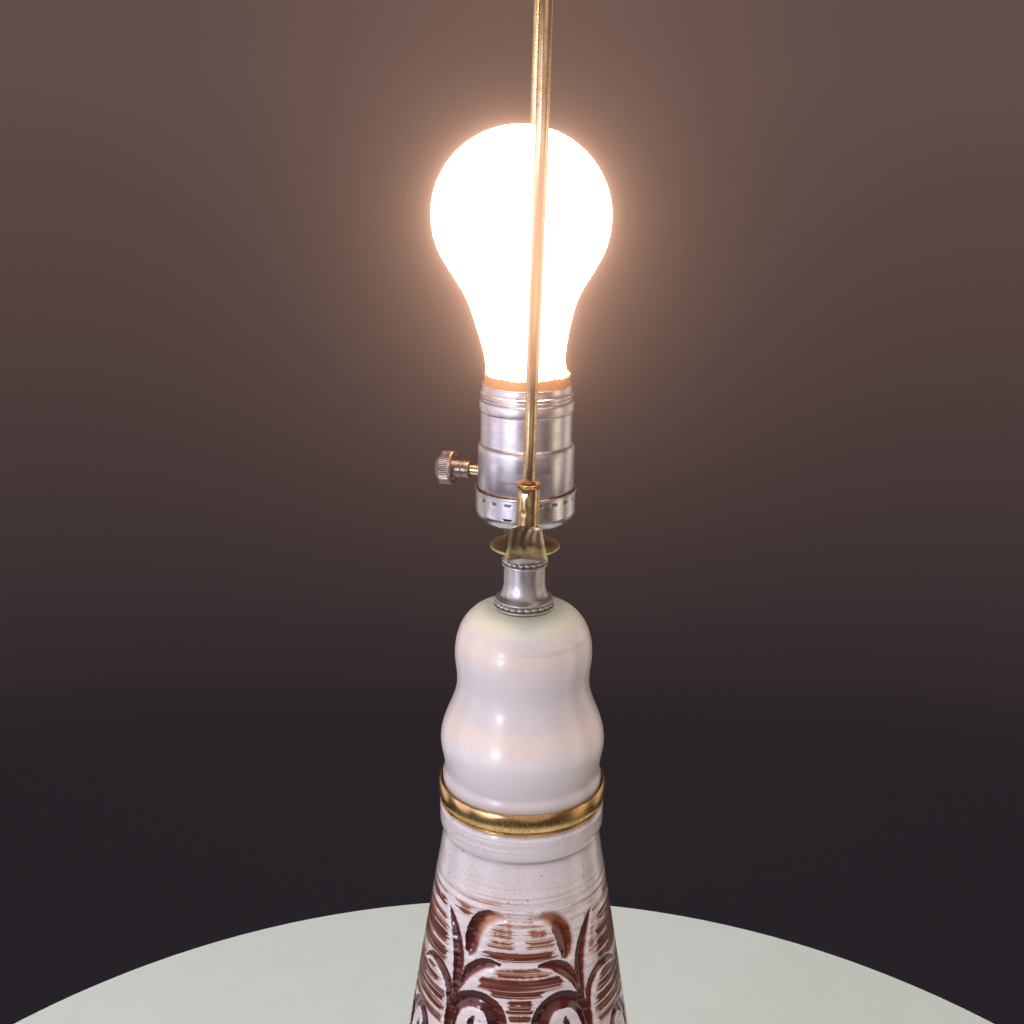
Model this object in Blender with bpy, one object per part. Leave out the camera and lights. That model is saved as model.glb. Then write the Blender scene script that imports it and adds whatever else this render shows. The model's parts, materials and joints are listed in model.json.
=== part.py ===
"""Ceramic table lamp with a cone body, a brass ring, a harp, a turn-knob socket and a frosted bulb.

Metres, +Z up. The origin is the centre of the felt's underside, and the front of the lamp faces -Y.
The felt, the ceramics, the neck and the saddle stack on a threaded pipe that is clamped by a nut below.
The socket's cap screws on the pipe's upper end, and the harp stands in the saddle's two arms.
"""
import math

import bmesh
import bpy
from mathutils import Matrix, Vector

# Clearances that many pieces share
seat_gap = 0.0003
slide_gap = 0.0004
cut_overrun = 0.002
weld_distance = 0.000002
match_distance = 0.00002
sharp_edge_degrees = 35

# Felt pad
felt_inset = 0.0023
felt_thickness = 0.0020

# Lower ceramic body
body_height = 0.3600
body_foot_radius = 0.0858
body_foot_round = 0.0030
body_crease_radius = 0.02944
body_collar_radius = 0.03096
body_collar_height = 0.0114
body_collar_roll = 0.0045
body_collar_top_inset = 0.0006
body_wall = 0.0065
body_top_thickness = 0.0080
body_floor_thickness = 0.0080
body_recess_depth = 0.0260
body_foot_width = 0.0080

# Brass ring between the ceramics
ring_height = 0.0086
ring_plate = 0.0012
ring_plate_hole_radius = 0.0120
ring_lip_height = 0.0014
ring_lip_radius = 0.03100
ring_groove_radius = 0.03060
ring_band_radius = 0.03145
ring_wall = 0.0008

# Upper ceramic body: its outline swells and draws in between these heights above its foot
upper_foot_radius = 0.0300
upper_foot_roll_height = 0.0058
upper_foot_waist_radius = 0.02925
upper_foot_waist_height = 0.0122
upper_low_bulge_radius = 0.03075
upper_low_bulge_height = 0.0234
upper_waist_radius = 0.02455
upper_waist_height = 0.0472
upper_top_bulge_radius = 0.02530
upper_top_bulge_height = 0.0577
upper_height = 0.0750
upper_crown_radius = 0.0130
upper_wall = 0.0050
upper_foot_width = 0.0060
upper_swell_steps = (1, 2, 4, 2)

# Neck: a turned spacer with a rope ring at each end
neck_height = 0.0213
neck_foot_radius = 0.01090
neck_foot_ring_height = 0.0038
neck_flare_radius = 0.0096
neck_flare_height = 0.0062
neck_body_radius = 0.00745
neck_head_ring_radius = 0.00820
neck_head_ring_height = 0.0046
neck_lip_height = 0.0008
neck_foot_arc_degrees = (-60, 75)
neck_flare_arc_degrees = (0, 25, 50, 90)

# Threaded pipe and the clamp below the body
pipe_radius = 0.0049
pipe_bore_radius = 0.0037
pipe_hole_clearance = 0.0006
pipe_hub_engagement = 0.0080
washer_radius = 0.0190
washer_thickness = 0.0015
lock_washer_radius = 0.0080
lock_washer_thickness = 0.0013
lock_washer_split = 0.0012
nut_flats = 0.0143
nut_sides = 6
nut_height = 0.0044
pipe_tail = 0.0012

# Cord outlet at the back
outlet_height = 0.0150
outlet_flange_radius = 0.0086
outlet_flange_thickness = 0.0018
outlet_barrel_radius = 0.0061
outlet_bore_radius = 0.0043
outlet_nut_radius = 0.0084
outlet_nut_thickness = 0.0022

# Harp saddle
saddle_disc_radius = 0.0125
saddle_flat_radius = 0.0095
saddle_thickness = 0.0011
saddle_rise_degrees = 18
saddle_arm_thickness = 0.0009
saddle_arm_root_width = 0.0148
saddle_arm_shoulder_width = 0.0098
saddle_arm_shoulder_height = 0.0190
saddle_arm_bend_radius = 0.0080
saddle_arm_curl = 0.0012
saddle_tongue_width = 0.0050
saddle_tongue_length = 0.0088
arm_width_shares = (-1, -0.5, 0, 0.5, 1)

# Harp
harp_height = 0.2286
harp_span = 0.0600
harp_bulge_span = 0.1110
harp_rod_radius = 0.00205
harp_straight_height = 0.0540
harp_bulge_height = 0.1500
harp_pad_width = 0.0092
harp_pad_thickness = 0.0026
harp_pad_length = 0.0130
harp_blade_thickness = 0.0016
harp_blade_width = 0.0044
harp_swage_length = 0.0014
harp_lean_degrees = 1.0
harp_turn_degrees = 0.8

# Ferrules that lock the harp's legs to the saddle
ferrule_length = 0.0140
ferrule_radius = 0.0039
ferrule_wall = 0.00045
ferrule_flare = 0.00035
ferrule_flare_height = 0.0010

# Harp stud and finial
stud_flange_radius = 0.0055
stud_flange_thickness = 0.0016
stud_post_radius = 0.0030
stud_post_height = 0.0095
stud_shank_radius = 0.0017
stud_head_radius = 0.0031
stud_head_thickness = 0.0011
shade_ring_room = 0.0024
bush_wall = 0.0012
bush_height = 0.0088
finial_foot_radius = 0.0066
finial_foot_height = 0.0030
finial_neck_radius = 0.0056
finial_neck_height = 0.0105
finial_ball_radius = 0.0074
finial_ball_start_degrees = -48

# Socket cap
cap_hub_radius = 0.0072
cap_hub_height = 0.0086
cap_hub_bore_clearance = 0.0003
cap_floor_radius = 0.0118
cap_floor_rise = 0.0010
cap_band_radius = 0.0176
cap_band_height = 0.0077
cap_corner_rise = 0.0048
cap_rim_radius = 0.01790
cap_rim_height = 0.0008
cap_wall = 0.00035
cap_screw_radius = 0.0014
cap_screw_length = 0.0030
cap_screw_proud = 0.0008
cap_liner_thickness = 0.0004

# Socket shell
shell_barrel_radius = 0.01690
shell_bottom_engagement = 0.0047
shell_step_height = 0.0196
shell_step_rise = 0.0011
shell_waist_radius = 0.01594
shell_bead_height = 0.0321
shell_bead_radius = 0.01642
shell_bead_width = 0.0042
shell_ridge_radius = 0.01604
shell_ridge_pitch = 0.0012
shell_ridge_groove_radius = 0.01575
shell_rim_radius = 0.01545
shell_height = 0.0417
shell_wall = 0.0004

# Paper liner and the socket's works
liner_thickness = 0.00035
liner_proud = 0.0035
works_height = 0.0221
works_neck_height = 0.0030
screw_shell_wall = 0.0003
screw_shell_height = 0.0215
contact_radius = 0.0042
contact_thickness = 0.0009
terminal_radius = 0.0026
terminal_head = 0.0014
terminal_shank_radius = 0.0014
terminal_shank_length = 0.0038
terminal_flat_depth = 0.0024
terminal_height = 0.0082
screw_slot_width = 0.0007
screw_slot_depth = 0.0006

# Switch
switch_height = 0.0092
switch_azimuth_degrees = 165.0
switch_shaft_radius = 0.0019
switch_shaft_root = 0.0082
switch_shaft_end = 0.0292
switch_hole_clearance = 0.0004
knob_neck_start = 0.0204
knob_neck_radius = 0.00315
knob_neck_groove_depth = 0.00035
knob_drum_start = 0.0264
knob_drum_length = 0.0052
knob_drum_radius = 0.0060
knob_dome_height = 0.0009
knob_dish_depth = 0.0010
knob_knurl_depth = 0.00030
knob_knurl_count = 18
knob_face_flat_share = 0.6
knob_face_rise_share = 0.75

# Edison thread of the bulb and the socket
thread_pitch = 0.003629
thread_mean_radius = 0.0127
thread_depth = 0.00045
thread_clearance = 0.00065
thread_rows_per_turn = 4
thread_segments = 16

# Bulb
bulb_base_height = 0.0212
bulb_base_wall = 0.0003
bulb_skirt_radius = 0.0132
bulb_skirt_height = 0.0022
bulb_insulator_height = 0.0026
bulb_insulator_radius = 0.0112
bulb_tip_radius = 0.0048
bulb_tip_height = 0.0016
bulb_tip_flat_share = 0.6
bulb_neck_radius = 0.01385
bulb_neck_insert_radius = 0.0114
bulb_neck_insert_length = 0.0070
bulb_radius = 0.0300
bulb_radius_height = 0.0548
bulb_height = 0.0840
bulb_throat_height = 0.0100
bulb_throat_radius = 0.01435
bulb_shoulder_height = 0.0265
bulb_shoulder_radius = 0.0188
bulb_glass_wall = 0.0009
bulb_flank_degrees = -38
bulb_inner_crown_degrees = 70
bulb_lean_degrees = 3.0
stem_flare_radius = 0.0100
stem_flare_height = 0.0030
stem_tube_radius = 0.0034
stem_height = 0.0330
filament_wire_radius = 0.00040
filament_span = 0.0180
filament_rise = 0.0200
filament_span_shares = (0.7, 1.0, 0.0)
filament_rise_shares = (0.6, 1.0, 0.85)

# Mesh fineness
body_segments = 40
upper_segments = 32
socket_segments = 24
small_segments = 18
tiny_segments = 12
rod_sides = 10
wire_sides = 5
round_section = 1
flat_section = 0.35

# Heights of the stack, bottom to top
body_bottom = felt_thickness + seat_gap
body_top = body_bottom + body_height
ring_bottom = body_top + seat_gap
upper_bottom = ring_bottom + ring_plate + seat_gap
upper_top = upper_bottom + upper_height
neck_bottom = upper_top + seat_gap
neck_top = neck_bottom + neck_height
saddle_bottom = neck_top + seat_gap
saddle_top = saddle_bottom + saddle_thickness
cap_bottom = saddle_top + seat_gap
cap_rim_top = cap_bottom + cap_hub_height + cap_floor_rise + cap_corner_rise + cap_band_height
shell_bottom = cap_rim_top - shell_bottom_engagement
shell_top = shell_bottom + shell_height
works_bottom = cap_bottom + cap_hub_height + cap_floor_rise + cap_wall + cap_liner_thickness + 2 * seat_gap
works_top = works_bottom + works_height
contact_bottom = works_top + seat_gap
bulb_tip_bottom = contact_bottom + contact_thickness + seat_gap
insulator_bottom = bulb_tip_bottom + bulb_tip_height + seat_gap
bulb_base_bottom = insulator_bottom + bulb_insulator_height + seat_gap
bulb_base_top = bulb_base_bottom + bulb_base_height

# Radii of the nested sleeves, outside in
liner_outer_radius = shell_rim_radius - shell_wall - seat_gap
liner_inner_radius = liner_outer_radius - liner_thickness
screw_shell_outer_radius = liner_inner_radius - seat_gap
screw_shell_mean_radius = thread_mean_radius + thread_clearance
works_radius = liner_inner_radius - seat_gap
pipe_hole_radius = pipe_radius + pipe_hole_clearance


def clear_scene():
    """Remove every object that the file opens with."""
    for item in list(bpy.data.objects):
        bpy.data.objects.remove(item, do_unlink=True)


def finish(name, colour, roughness, metallic):
    """A Principled material."""
    made = bpy.data.materials.new(name)
    made.use_nodes = True
    shader = made.node_tree.nodes["Principled BSDF"]
    shader.inputs["Base Color"].default_value = (*colour, 1)
    shader.inputs["Roughness"].default_value = roughness
    shader.inputs["Metallic"].default_value = metallic
    return made


def add_object(name, shape, material):
    """Turn a bmesh into a smooth-shaded object of its own."""
    mesh = bpy.data.meshes.new(name)
    shape.to_mesh(mesh)
    shape.free()
    mesh.materials.append(material)
    mesh.shade_smooth()
    mesh.set_sharp_from_angle(angle=math.radians(sharp_edge_degrees))
    made = bpy.data.objects.new(name, mesh)
    bpy.context.scene.collection.objects.link(made)
    return made


def spin_outline(outline, segments, closed=True):
    """Spin (radius, height) points about Z. A closed outline makes a ring, an open one a solid."""
    shape = bmesh.new()
    points = [shape.verts.new((radius, 0, height)) for radius, height in outline]
    pairs = list(zip(points, points[1:]))
    if closed:
        pairs.append((points[-1], points[0]))
    edges = [shape.edges.new(pair) for pair in pairs]
    bmesh.ops.spin(shape, geom=points + edges, cent=(0, 0, 0), axis=(0, 0, 1),
                   angle=math.tau, steps=segments, use_merge=True)
    bmesh.ops.remove_doubles(shape, verts=shape.verts, dist=weld_distance)
    bmesh.ops.recalc_face_normals(shape, faces=shape.faces)
    return shape


def turned(name, outline, segments, material, closed=True):
    """A turned piece as an object."""
    return add_object(name, spin_outline(outline, segments, closed), material)


def arc(centre, radii, start_degrees, end_degrees, steps):
    """Points on an ellipse's arc, both ends included."""
    made = []
    for index in range(steps + 1):
        angle = math.radians(start_degrees + (end_degrees - start_degrees) * index / steps)
        made.append((centre[0] + radii[0] * math.cos(angle), centre[1] + radii[1] * math.sin(angle)))
    return made


def swell(low, high, steps):
    """Half a cosine wave from one (radius, height) to the next, without its last point."""
    made = []
    for index in range(steps):
        share = index / steps
        ease = (1 - math.cos(math.pi * share)) / 2
        made.append((low[0] + (high[0] - low[0]) * ease, low[1] + (high[1] - low[1]) * share))
    return made


def smooth_line(points, steps):
    """A Catmull-Rom curve through hand-chosen points."""
    ends = [points[0] * 2 - points[1]] + points + [points[-1] * 2 - points[-2]]
    made = []
    for before, start, stop, after in zip(ends, ends[1:], ends[2:], ends[3:]):
        for index in range(steps):
            t = index / steps
            made.append(0.5 * (2 * start + (stop - before) * t
                               + (2 * before - 5 * start + 4 * stop - after) * t ** 2
                               + (3 * start - before - 3 * stop + after) * t ** 3))
    made.append(points[-1])
    return made


def sweep(line, sides, sections):
    """A closed tube along (x, z) points. A section is half its depth, half its width and its roundness."""
    last = len(line) - 1
    shape = bmesh.new()
    rings = []
    for index, (point, (deep, wide, roundness)) in enumerate(zip(line, sections)):
        along = (line[min(index + 1, last)] - line[max(index - 1, 0)]).normalized()
        normal = Vector((along.y, -along.x))
        ring = []
        for step in range(sides):
            angle = math.tau * (step + 0.5) / sides
            outward = math.copysign(abs(math.cos(angle)) ** roundness, math.cos(angle))
            across = math.copysign(abs(math.sin(angle)) ** roundness, math.sin(angle))
            place = point + normal * (deep * outward)
            ring.append(shape.verts.new((place.x, wide * across, place.y)))
        rings.append(ring)
    for ring, following in zip(rings, rings[1:]):
        for step in range(sides):
            after = (step + 1) % sides
            shape.faces.new((ring[step], ring[after], following[after], following[step]))
    shape.faces.new(rings[0])
    shape.faces.new(rings[-1])
    bmesh.ops.recalc_face_normals(shape, faces=shape.faces)
    return shape


def cut(target, cutter):
    """Take a hidden cutter away from a target."""
    cutter.display_type = "WIRE"
    cutter.hide_render = True
    hole = target.modifiers.new(cutter.name, "BOOLEAN")
    hole.operation = "DIFFERENCE"
    hole.object = cutter
    hole.solver = "EXACT"


def join(target, tool):
    """Fuse a hidden tool with a target."""
    tool.display_type = "WIRE"
    tool.hide_render = True
    fused = target.modifiers.new(tool.name, "BOOLEAN")
    fused.operation = "UNION"
    fused.object = tool
    fused.solver = "EXACT"


def rod_cutter(name, radius, start, end, placing, segments=tiny_segments):
    """A round cutter along its own Z from start to end, placed by a matrix."""
    shape = spin_outline([(0, start), (radius, start), (radius, end), (0, end)], segments, closed=False)
    bmesh.ops.transform(shape, matrix=placing, verts=shape.verts)
    return add_object(name, shape, materials["phenolic"])


def box_cutter(name, low, high, placing):
    """A box cutter between two corners, placed by a matrix."""
    shape = bmesh.new()
    bmesh.ops.create_cube(shape, size=1)
    for point in shape.verts:
        for axis in range(3):
            point.co[axis] = high[axis] if point.co[axis] > 0 else low[axis]
    bmesh.ops.transform(shape, matrix=placing, verts=shape.verts)
    return add_object(name, shape, materials["phenolic"])


def body_cone_radius(height_above_foot):
    """Radius of the lower body's cone at a height above its foot."""
    crease_height = body_height - body_collar_height
    share = height_above_foot / crease_height
    return body_foot_radius + (body_crease_radius - body_foot_radius) * share


def make_felt():
    """The felt disc that the lamp stands on."""
    radius = body_foot_radius - felt_inset
    outline = [(0, 0), (radius, 0), (radius, felt_thickness), (0, felt_thickness)]
    turned("felt_pad", outline, body_segments, materials["felt"], closed=False)


def lower_body_outline():
    """Outside of the cone and its collar, then the top hole, the hollow, the floor and the foot ring."""
    low = body_bottom
    crease = body_top - body_collar_height
    floor_low = low + body_recess_depth
    floor_top = floor_low + body_floor_thickness
    ceiling = body_top - body_top_thickness
    outline = arc((body_cone_radius(body_foot_round) - body_foot_round, low + body_foot_round),
                  (body_foot_round, body_foot_round), -90, 0, 2)
    outline.append((body_cone_radius(body_height / 2), low + body_height / 2))
    outline += arc((body_crease_radius, crease + body_collar_roll),
                   (body_collar_radius - body_crease_radius, body_collar_roll), -90, 0, 2)
    outline.append((body_collar_radius - body_collar_top_inset, body_top))
    outline.append((pipe_hole_radius, body_top))
    outline.append((pipe_hole_radius, ceiling))
    outline.append((body_crease_radius - body_wall, ceiling))
    outline.append((body_cone_radius(floor_top - low) - body_wall, floor_top))
    outline.append((pipe_hole_radius, floor_top))
    outline.append((pipe_hole_radius, floor_low))
    outline.append((body_cone_radius(body_recess_depth) - body_foot_width, floor_low))
    outline.append((body_foot_radius - body_foot_width, low))
    return outline


def cone_slope():
    """Angle between the cone's wall and the upright."""
    return math.atan2(body_foot_radius - body_crease_radius, body_height - body_collar_height)


def outlet_placing():
    """Frame of the cord outlet: its Z points out of the back wall, square to the cone."""
    height = outlet_height - body_bottom
    turn = Matrix.Rotation(cone_slope() - math.pi / 2, 4, "X")
    return Matrix.Translation((0, body_cone_radius(height), outlet_height)) @ turn


def make_lower_body():
    """The hollow cone with its collar and the hole for the cord outlet."""
    body = turned("lower_body", lower_body_outline(), body_segments, materials["glaze"])
    hole = outlet_barrel_radius + pipe_hole_clearance
    reach = body_foot_width * 2
    cut(body, rod_cutter("outlet_hole_cutter", hole, -reach, reach, outlet_placing()))


def make_outlet():
    """A flanged bush through the back of the foot, and the ring that holds it from the recess."""
    facet_fall = outlet_nut_radius * math.tan(math.pi / body_segments)
    inner_face = -body_foot_width * math.cos(cone_slope()) - facet_fall
    nut_low = inner_face - outlet_nut_thickness - seat_gap
    flange_top = slide_gap + outlet_flange_thickness
    outline = [(outlet_bore_radius, nut_low), (outlet_barrel_radius, nut_low),
               (outlet_barrel_radius, slide_gap), (outlet_flange_radius, slide_gap),
               (outlet_flange_radius, flange_top - outlet_flange_thickness / 2),
               (outlet_barrel_radius, flange_top), (outlet_bore_radius, flange_top)]
    bush = turned("cord_outlet_bush", outline, small_segments, materials["bakelite"])
    bush.matrix_world = outlet_placing()
    bore = outlet_barrel_radius + seat_gap
    nut_high = nut_low + outlet_nut_thickness
    ring = [(bore, nut_low), (outlet_nut_radius, nut_low), (outlet_nut_radius, nut_high), (bore, nut_high)]
    nut = turned("cord_outlet_ring", ring, small_segments, materials["brass"])
    nut.matrix_world = outlet_placing()


def make_ring():
    """The brass ring: a flat plate, a thin lip and a half-round band that wraps the upper foot."""
    low = ring_bottom
    top = low + ring_height
    inner = upper_foot_radius + seat_gap
    band_low = low + ring_lip_height
    band_middle = (band_low + top) / 2
    crown = ring_band_radius - ring_groove_radius
    outline = [(ring_plate_hole_radius, low), (ring_lip_radius, low),
               (ring_lip_radius, band_low - ring_wall / 2)]
    outline += arc((ring_groove_radius, band_middle), (crown, (top - band_low) / 2), -90, 90, 4)
    outline += [(inner, top), (inner, low + ring_plate), (ring_plate_hole_radius, low + ring_plate)]
    turned("brass_ring", outline, body_segments, materials["brass"])


def upper_body_stations():
    """Turning points of the upper body's outline above its foot."""
    return [(upper_foot_radius, upper_foot_roll_height),
            (upper_foot_waist_radius, upper_foot_waist_height),
            (upper_low_bulge_radius, upper_low_bulge_height),
            (upper_waist_radius, upper_waist_height),
            (upper_top_bulge_radius, upper_top_bulge_height)]


def make_upper_body():
    """Two glazed bulges on a rolled foot, hollow, with a hole for the pipe."""
    stations = upper_body_stations()
    outline = [(upper_foot_radius - seat_gap, 0)]
    for low, high, steps in zip(stations, stations[1:], upper_swell_steps):
        outline += swell(low, high, steps)
    crown = (upper_top_bulge_radius - upper_crown_radius, upper_height - upper_top_bulge_height)
    outline += arc((upper_crown_radius, upper_top_bulge_height), crown, 0, 90, 4)
    hollow = [(radius - upper_wall, height) for radius, height in stations[2:]]
    outline += [(pipe_hole_radius, upper_height), (pipe_hole_radius, upper_height - upper_wall),
                (upper_crown_radius, upper_height - upper_wall)]
    outline += reversed(hollow)
    outline += [(upper_foot_radius - upper_foot_width, upper_foot_roll_height),
                (upper_foot_radius - upper_foot_width, 0)]
    body = turned("upper_body", outline, upper_segments, materials["glaze"])
    body.location.z = upper_bottom


def make_neck():
    """The turned spacer between the ceramic and the saddle."""
    bore = pipe_radius + slide_gap
    foot_half = neck_foot_ring_height / 2
    foot_core = neck_foot_radius - foot_half
    head_low = neck_height - neck_lip_height - neck_head_ring_height
    head_half = neck_head_ring_height / 2
    outline = [(bore, 0), (neck_foot_radius, 0)]
    outline += arc((foot_core, foot_half), (foot_half, foot_half), *neck_foot_arc_degrees, 4)
    flare_low = (neck_flare_radius, neck_foot_ring_height)
    flare_high = (neck_body_radius, neck_foot_ring_height + neck_flare_height)
    outline += [(flare_low[0] - (flare_low[0] - flare_high[0]) * math.sin(math.radians(angle)),
                 flare_high[1] - (flare_high[1] - flare_low[1]) * math.cos(math.radians(angle)))
                for angle in neck_flare_arc_degrees]
    outline += arc((neck_body_radius, head_low + head_half),
                   (neck_head_ring_radius - neck_body_radius, head_half), -90, 90, 4)
    outline += [(neck_body_radius, neck_height), (bore, neck_height)]
    neck = turned("neck_spacer", outline, socket_segments, materials["nickel"])
    neck.location.z = neck_bottom


def make_pipe():
    """The threaded pipe through the whole stack, open for the cord."""
    floor_low = body_bottom + body_recess_depth
    low = floor_low - washer_thickness - lock_washer_thickness - nut_height - 3 * seat_gap - pipe_tail
    high = cap_bottom + pipe_hub_engagement
    outline = [(pipe_bore_radius, low), (pipe_radius, low), (pipe_radius, high), (pipe_bore_radius, high)]
    turned("lamp_pipe", outline, small_segments, materials["steel"])


def make_pipe_clamp():
    """Washer, split lock washer and hexagon nut below the floor."""
    bore = pipe_radius + seat_gap
    washer_top = body_bottom + body_recess_depth - seat_gap
    washer_low = washer_top - washer_thickness
    outline = [(bore, washer_low), (washer_radius, washer_low), (washer_radius, washer_top),
               (bore, washer_top)]
    turned("pipe_washer", outline, small_segments, materials["steel"])
    lock_top = washer_low - seat_gap
    lock_low = lock_top - lock_washer_thickness
    outline = [(bore, lock_low), (lock_washer_radius, lock_low), (lock_washer_radius, lock_top),
               (bore, lock_top)]
    lock = turned("lock_washer", outline, small_segments, materials["steel"])
    half = lock_washer_split / 2
    cut(lock, box_cutter("lock_split_cutter", (0, -half, lock_low - cut_overrun),
                         (lock_washer_radius + cut_overrun, half, lock_top + cut_overrun), Matrix()))
    nut_top = lock_low - seat_gap
    nut_low = nut_top - nut_height
    corner = nut_flats / 2 / math.cos(math.pi / nut_sides)
    outline = [(0, nut_low), (corner, nut_low), (corner, nut_top), (0, nut_top)]
    nut = turned("pipe_nut", outline, nut_sides, materials["steel"], closed=False)
    cut(nut, rod_cutter("nut_bore_cutter", bore, nut_low - cut_overrun, nut_top + cut_overrun, Matrix(),
                        small_segments))


def arm_stations():
    """Centre line (radius, height), width and edge curl of one saddle arm, from the dish to its tongue."""
    outer = harp_span / 2 + seat_gap + saddle_arm_thickness / 2
    rise = math.radians(saddle_rise_degrees)
    bend = saddle_arm_bend_radius
    bend_start = outer - bend + bend * math.sin(rise)
    bend_height = (bend_start - saddle_flat_radius) * math.tan(rise) + bend * math.cos(rise)
    line = [(saddle_flat_radius, 0)]
    line += arc((outer - bend, bend_height), (bend, bend), saddle_rise_degrees - 90, 0, 3)
    line.append((outer, saddle_arm_shoulder_height - saddle_thickness))
    taper = (saddle_arm_root_width - saddle_arm_shoulder_width) / (len(line) - 1)
    stations = [(place, saddle_arm_root_width - taper * index, saddle_arm_curl if index else 0)
                for index, place in enumerate(line)]
    tip = saddle_arm_shoulder_height + saddle_tongue_length
    stations.append(((outer, saddle_arm_shoulder_height), saddle_tongue_width, 0))
    stations.append(((outer, tip), saddle_tongue_width, 0))
    return stations


def arm_tool(name, side):
    """One pressed arm: a strip with curled edges that bends up from the dish and narrows to a tongue."""
    stations = arm_stations()
    line = [Vector((0, *station[0])) for station in stations]
    shape = bmesh.new()
    sheets = []
    for offset in (-saddle_arm_thickness / 2, saddle_arm_thickness / 2):
        rows = []
        for index, station in enumerate(stations):
            along = line[min(index + 1, len(line) - 1)] - line[max(index - 1, 0)]
            normal = Vector((1, 0, 0)).cross(along).normalized()
            row = []
            for share in arm_width_shares:
                place = line[index] + normal * (offset - station[2] * share ** 2)
                row.append(shape.verts.new((station[1] / 2 * share, place.y * side, place.z)))
            rows.append(row)
        sheets.append(rows)
    strips = range(len(arm_width_shares) - 1)
    for rows in sheets:
        for row, following in zip(rows, rows[1:]):
            for step in strips:
                shape.faces.new((row[step], row[step + 1], following[step + 1], following[step]))
    for lower, upper in ((sheets[0][0], sheets[1][0]), (sheets[0][-1], sheets[1][-1])):
        for step in strips:
            shape.faces.new((lower[step], lower[step + 1], upper[step + 1], upper[step]))
    for edge in (0, -1):
        for index in range(len(stations) - 1):
            shape.faces.new((sheets[0][index][edge], sheets[0][index + 1][edge],
                             sheets[1][index + 1][edge], sheets[1][index][edge]))
    bmesh.ops.recalc_face_normals(shape, faces=shape.faces)
    return add_object(name, shape, materials["brass"])


def make_saddle():
    """The harp saddle: a dish on the neck with an arm at each side."""
    bore = pipe_radius + slide_gap
    rim_rise = (saddle_disc_radius - saddle_flat_radius) * math.tan(math.radians(saddle_rise_degrees))
    outline = [(bore, 0), (saddle_flat_radius, 0), (saddle_disc_radius, rim_rise),
               (saddle_disc_radius, rim_rise + saddle_thickness),
               (saddle_flat_radius, saddle_thickness), (bore, saddle_thickness)]
    saddle = turned("harp_saddle", outline, socket_segments, materials["brass"])
    saddle.location.z = saddle_bottom
    saddle.rotation_euler.z = math.radians(harp_turn_degrees)
    for side in (-1, 1):
        arm = arm_tool(f"saddle_arm_tool_{side + 1}", side)
        arm.location.z = saddle_bottom + saddle_thickness / 2
        arm.rotation_euler.z = math.radians(harp_turn_degrees)
        join(saddle, arm)


def place_on_harp(piece):
    """Stand a piece in the harp's own frame: over the saddle, turned and leaning with the harp."""
    piece.location.z += saddle_bottom
    piece.rotation_euler = (0, math.radians(harp_lean_degrees), math.radians(harp_turn_degrees))


def harp_centre_line():
    """Half of the harp's centre line, from the foot of one leg to the middle of the top pad."""
    leg = harp_span / 2
    blade = leg - harp_rod_radius + harp_blade_thickness / 2 + seat_gap
    foot = saddle_arm_shoulder_height + slide_gap * 2
    blade_top = saddle_arm_shoulder_height + saddle_tongue_length + slide_gap
    crown = harp_height - harp_pad_thickness / 2
    pad = harp_pad_length / 2
    bulge = harp_bulge_span / 2
    shoulder = pad + harp_swage_length
    line = [(blade, foot), (blade, blade_top), (leg, blade_top + harp_swage_length)]
    line += swell((leg, harp_straight_height), (bulge, harp_bulge_height), 7)
    line += arc((shoulder, harp_bulge_height), (bulge - shoulder, crown - harp_bulge_height), 0, 90, 8)
    line += [(pad, crown), (0, crown)]
    return [Vector(point) for point in line]


def make_harp():
    """The bent rod: forged blades at its feet, a bow round the bulb and a flat pad on top."""
    half = harp_centre_line()
    line = half + [Vector((-point.x, point.y)) for point in reversed(half[:-1])]
    rod = (harp_rod_radius, harp_rod_radius, round_section)
    blade = (harp_blade_thickness / 2, harp_blade_width / 2, flat_section)
    pad = (harp_pad_thickness / 2, harp_pad_width / 2, flat_section)
    sections = [blade, blade] + [rod] * (len(half) - 4) + [pad, pad]
    shape = sweep(line, rod_sides, sections + sections[-2::-1])
    bmesh.ops.transform(shape, matrix=Matrix.Rotation(math.pi / 2, 4, "Z"), verts=shape.verts)
    harp = add_object("harp", shape, materials["brass"])
    place_on_harp(harp)
    hole = stud_shank_radius + seat_gap
    low = harp_height - harp_pad_thickness - cut_overrun
    drill = rod_cutter("harp_pad_cutter", hole, low, harp_height + cut_overrun, Matrix())
    place_on_harp(drill)
    cut(harp, drill)


def make_ferrule(name, side):
    """A sleeve over one leg's foot and the arm's tongue."""
    inner = ferrule_radius - ferrule_wall
    low = saddle_arm_shoulder_height + seat_gap
    high = low + ferrule_length
    flare_low = high - ferrule_flare_height
    outline = [(inner, low), (ferrule_radius, low), (ferrule_radius, flare_low),
               (ferrule_radius + ferrule_flare, high), (inner + ferrule_flare, high), (inner, flare_low)]
    shape = spin_outline(outline, small_segments)
    bmesh.ops.translate(shape, verts=shape.verts, vec=(0, side * harp_span / 2, 0))
    sleeve = add_object(name, shape, materials["brass"])
    place_on_harp(sleeve)


def make_stud():
    """The threaded stud that is riveted through the harp's pad."""
    pad_low = harp_height - harp_pad_thickness - seat_gap
    flange_low = harp_height + seat_gap
    flange_top = flange_low + stud_flange_thickness
    outline = [(0, pad_low - stud_head_thickness), (stud_head_radius, pad_low - stud_head_thickness),
               (stud_head_radius, pad_low), (stud_shank_radius, pad_low), (stud_shank_radius, flange_low),
               (stud_flange_radius, flange_low), (stud_flange_radius, flange_top),
               (stud_post_radius, flange_top), (stud_post_radius, flange_top + stud_post_height),
               (0, flange_top + stud_post_height)]
    stud = turned("harp_stud", outline, small_segments, materials["brass"], closed=False)
    place_on_harp(stud)


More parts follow.
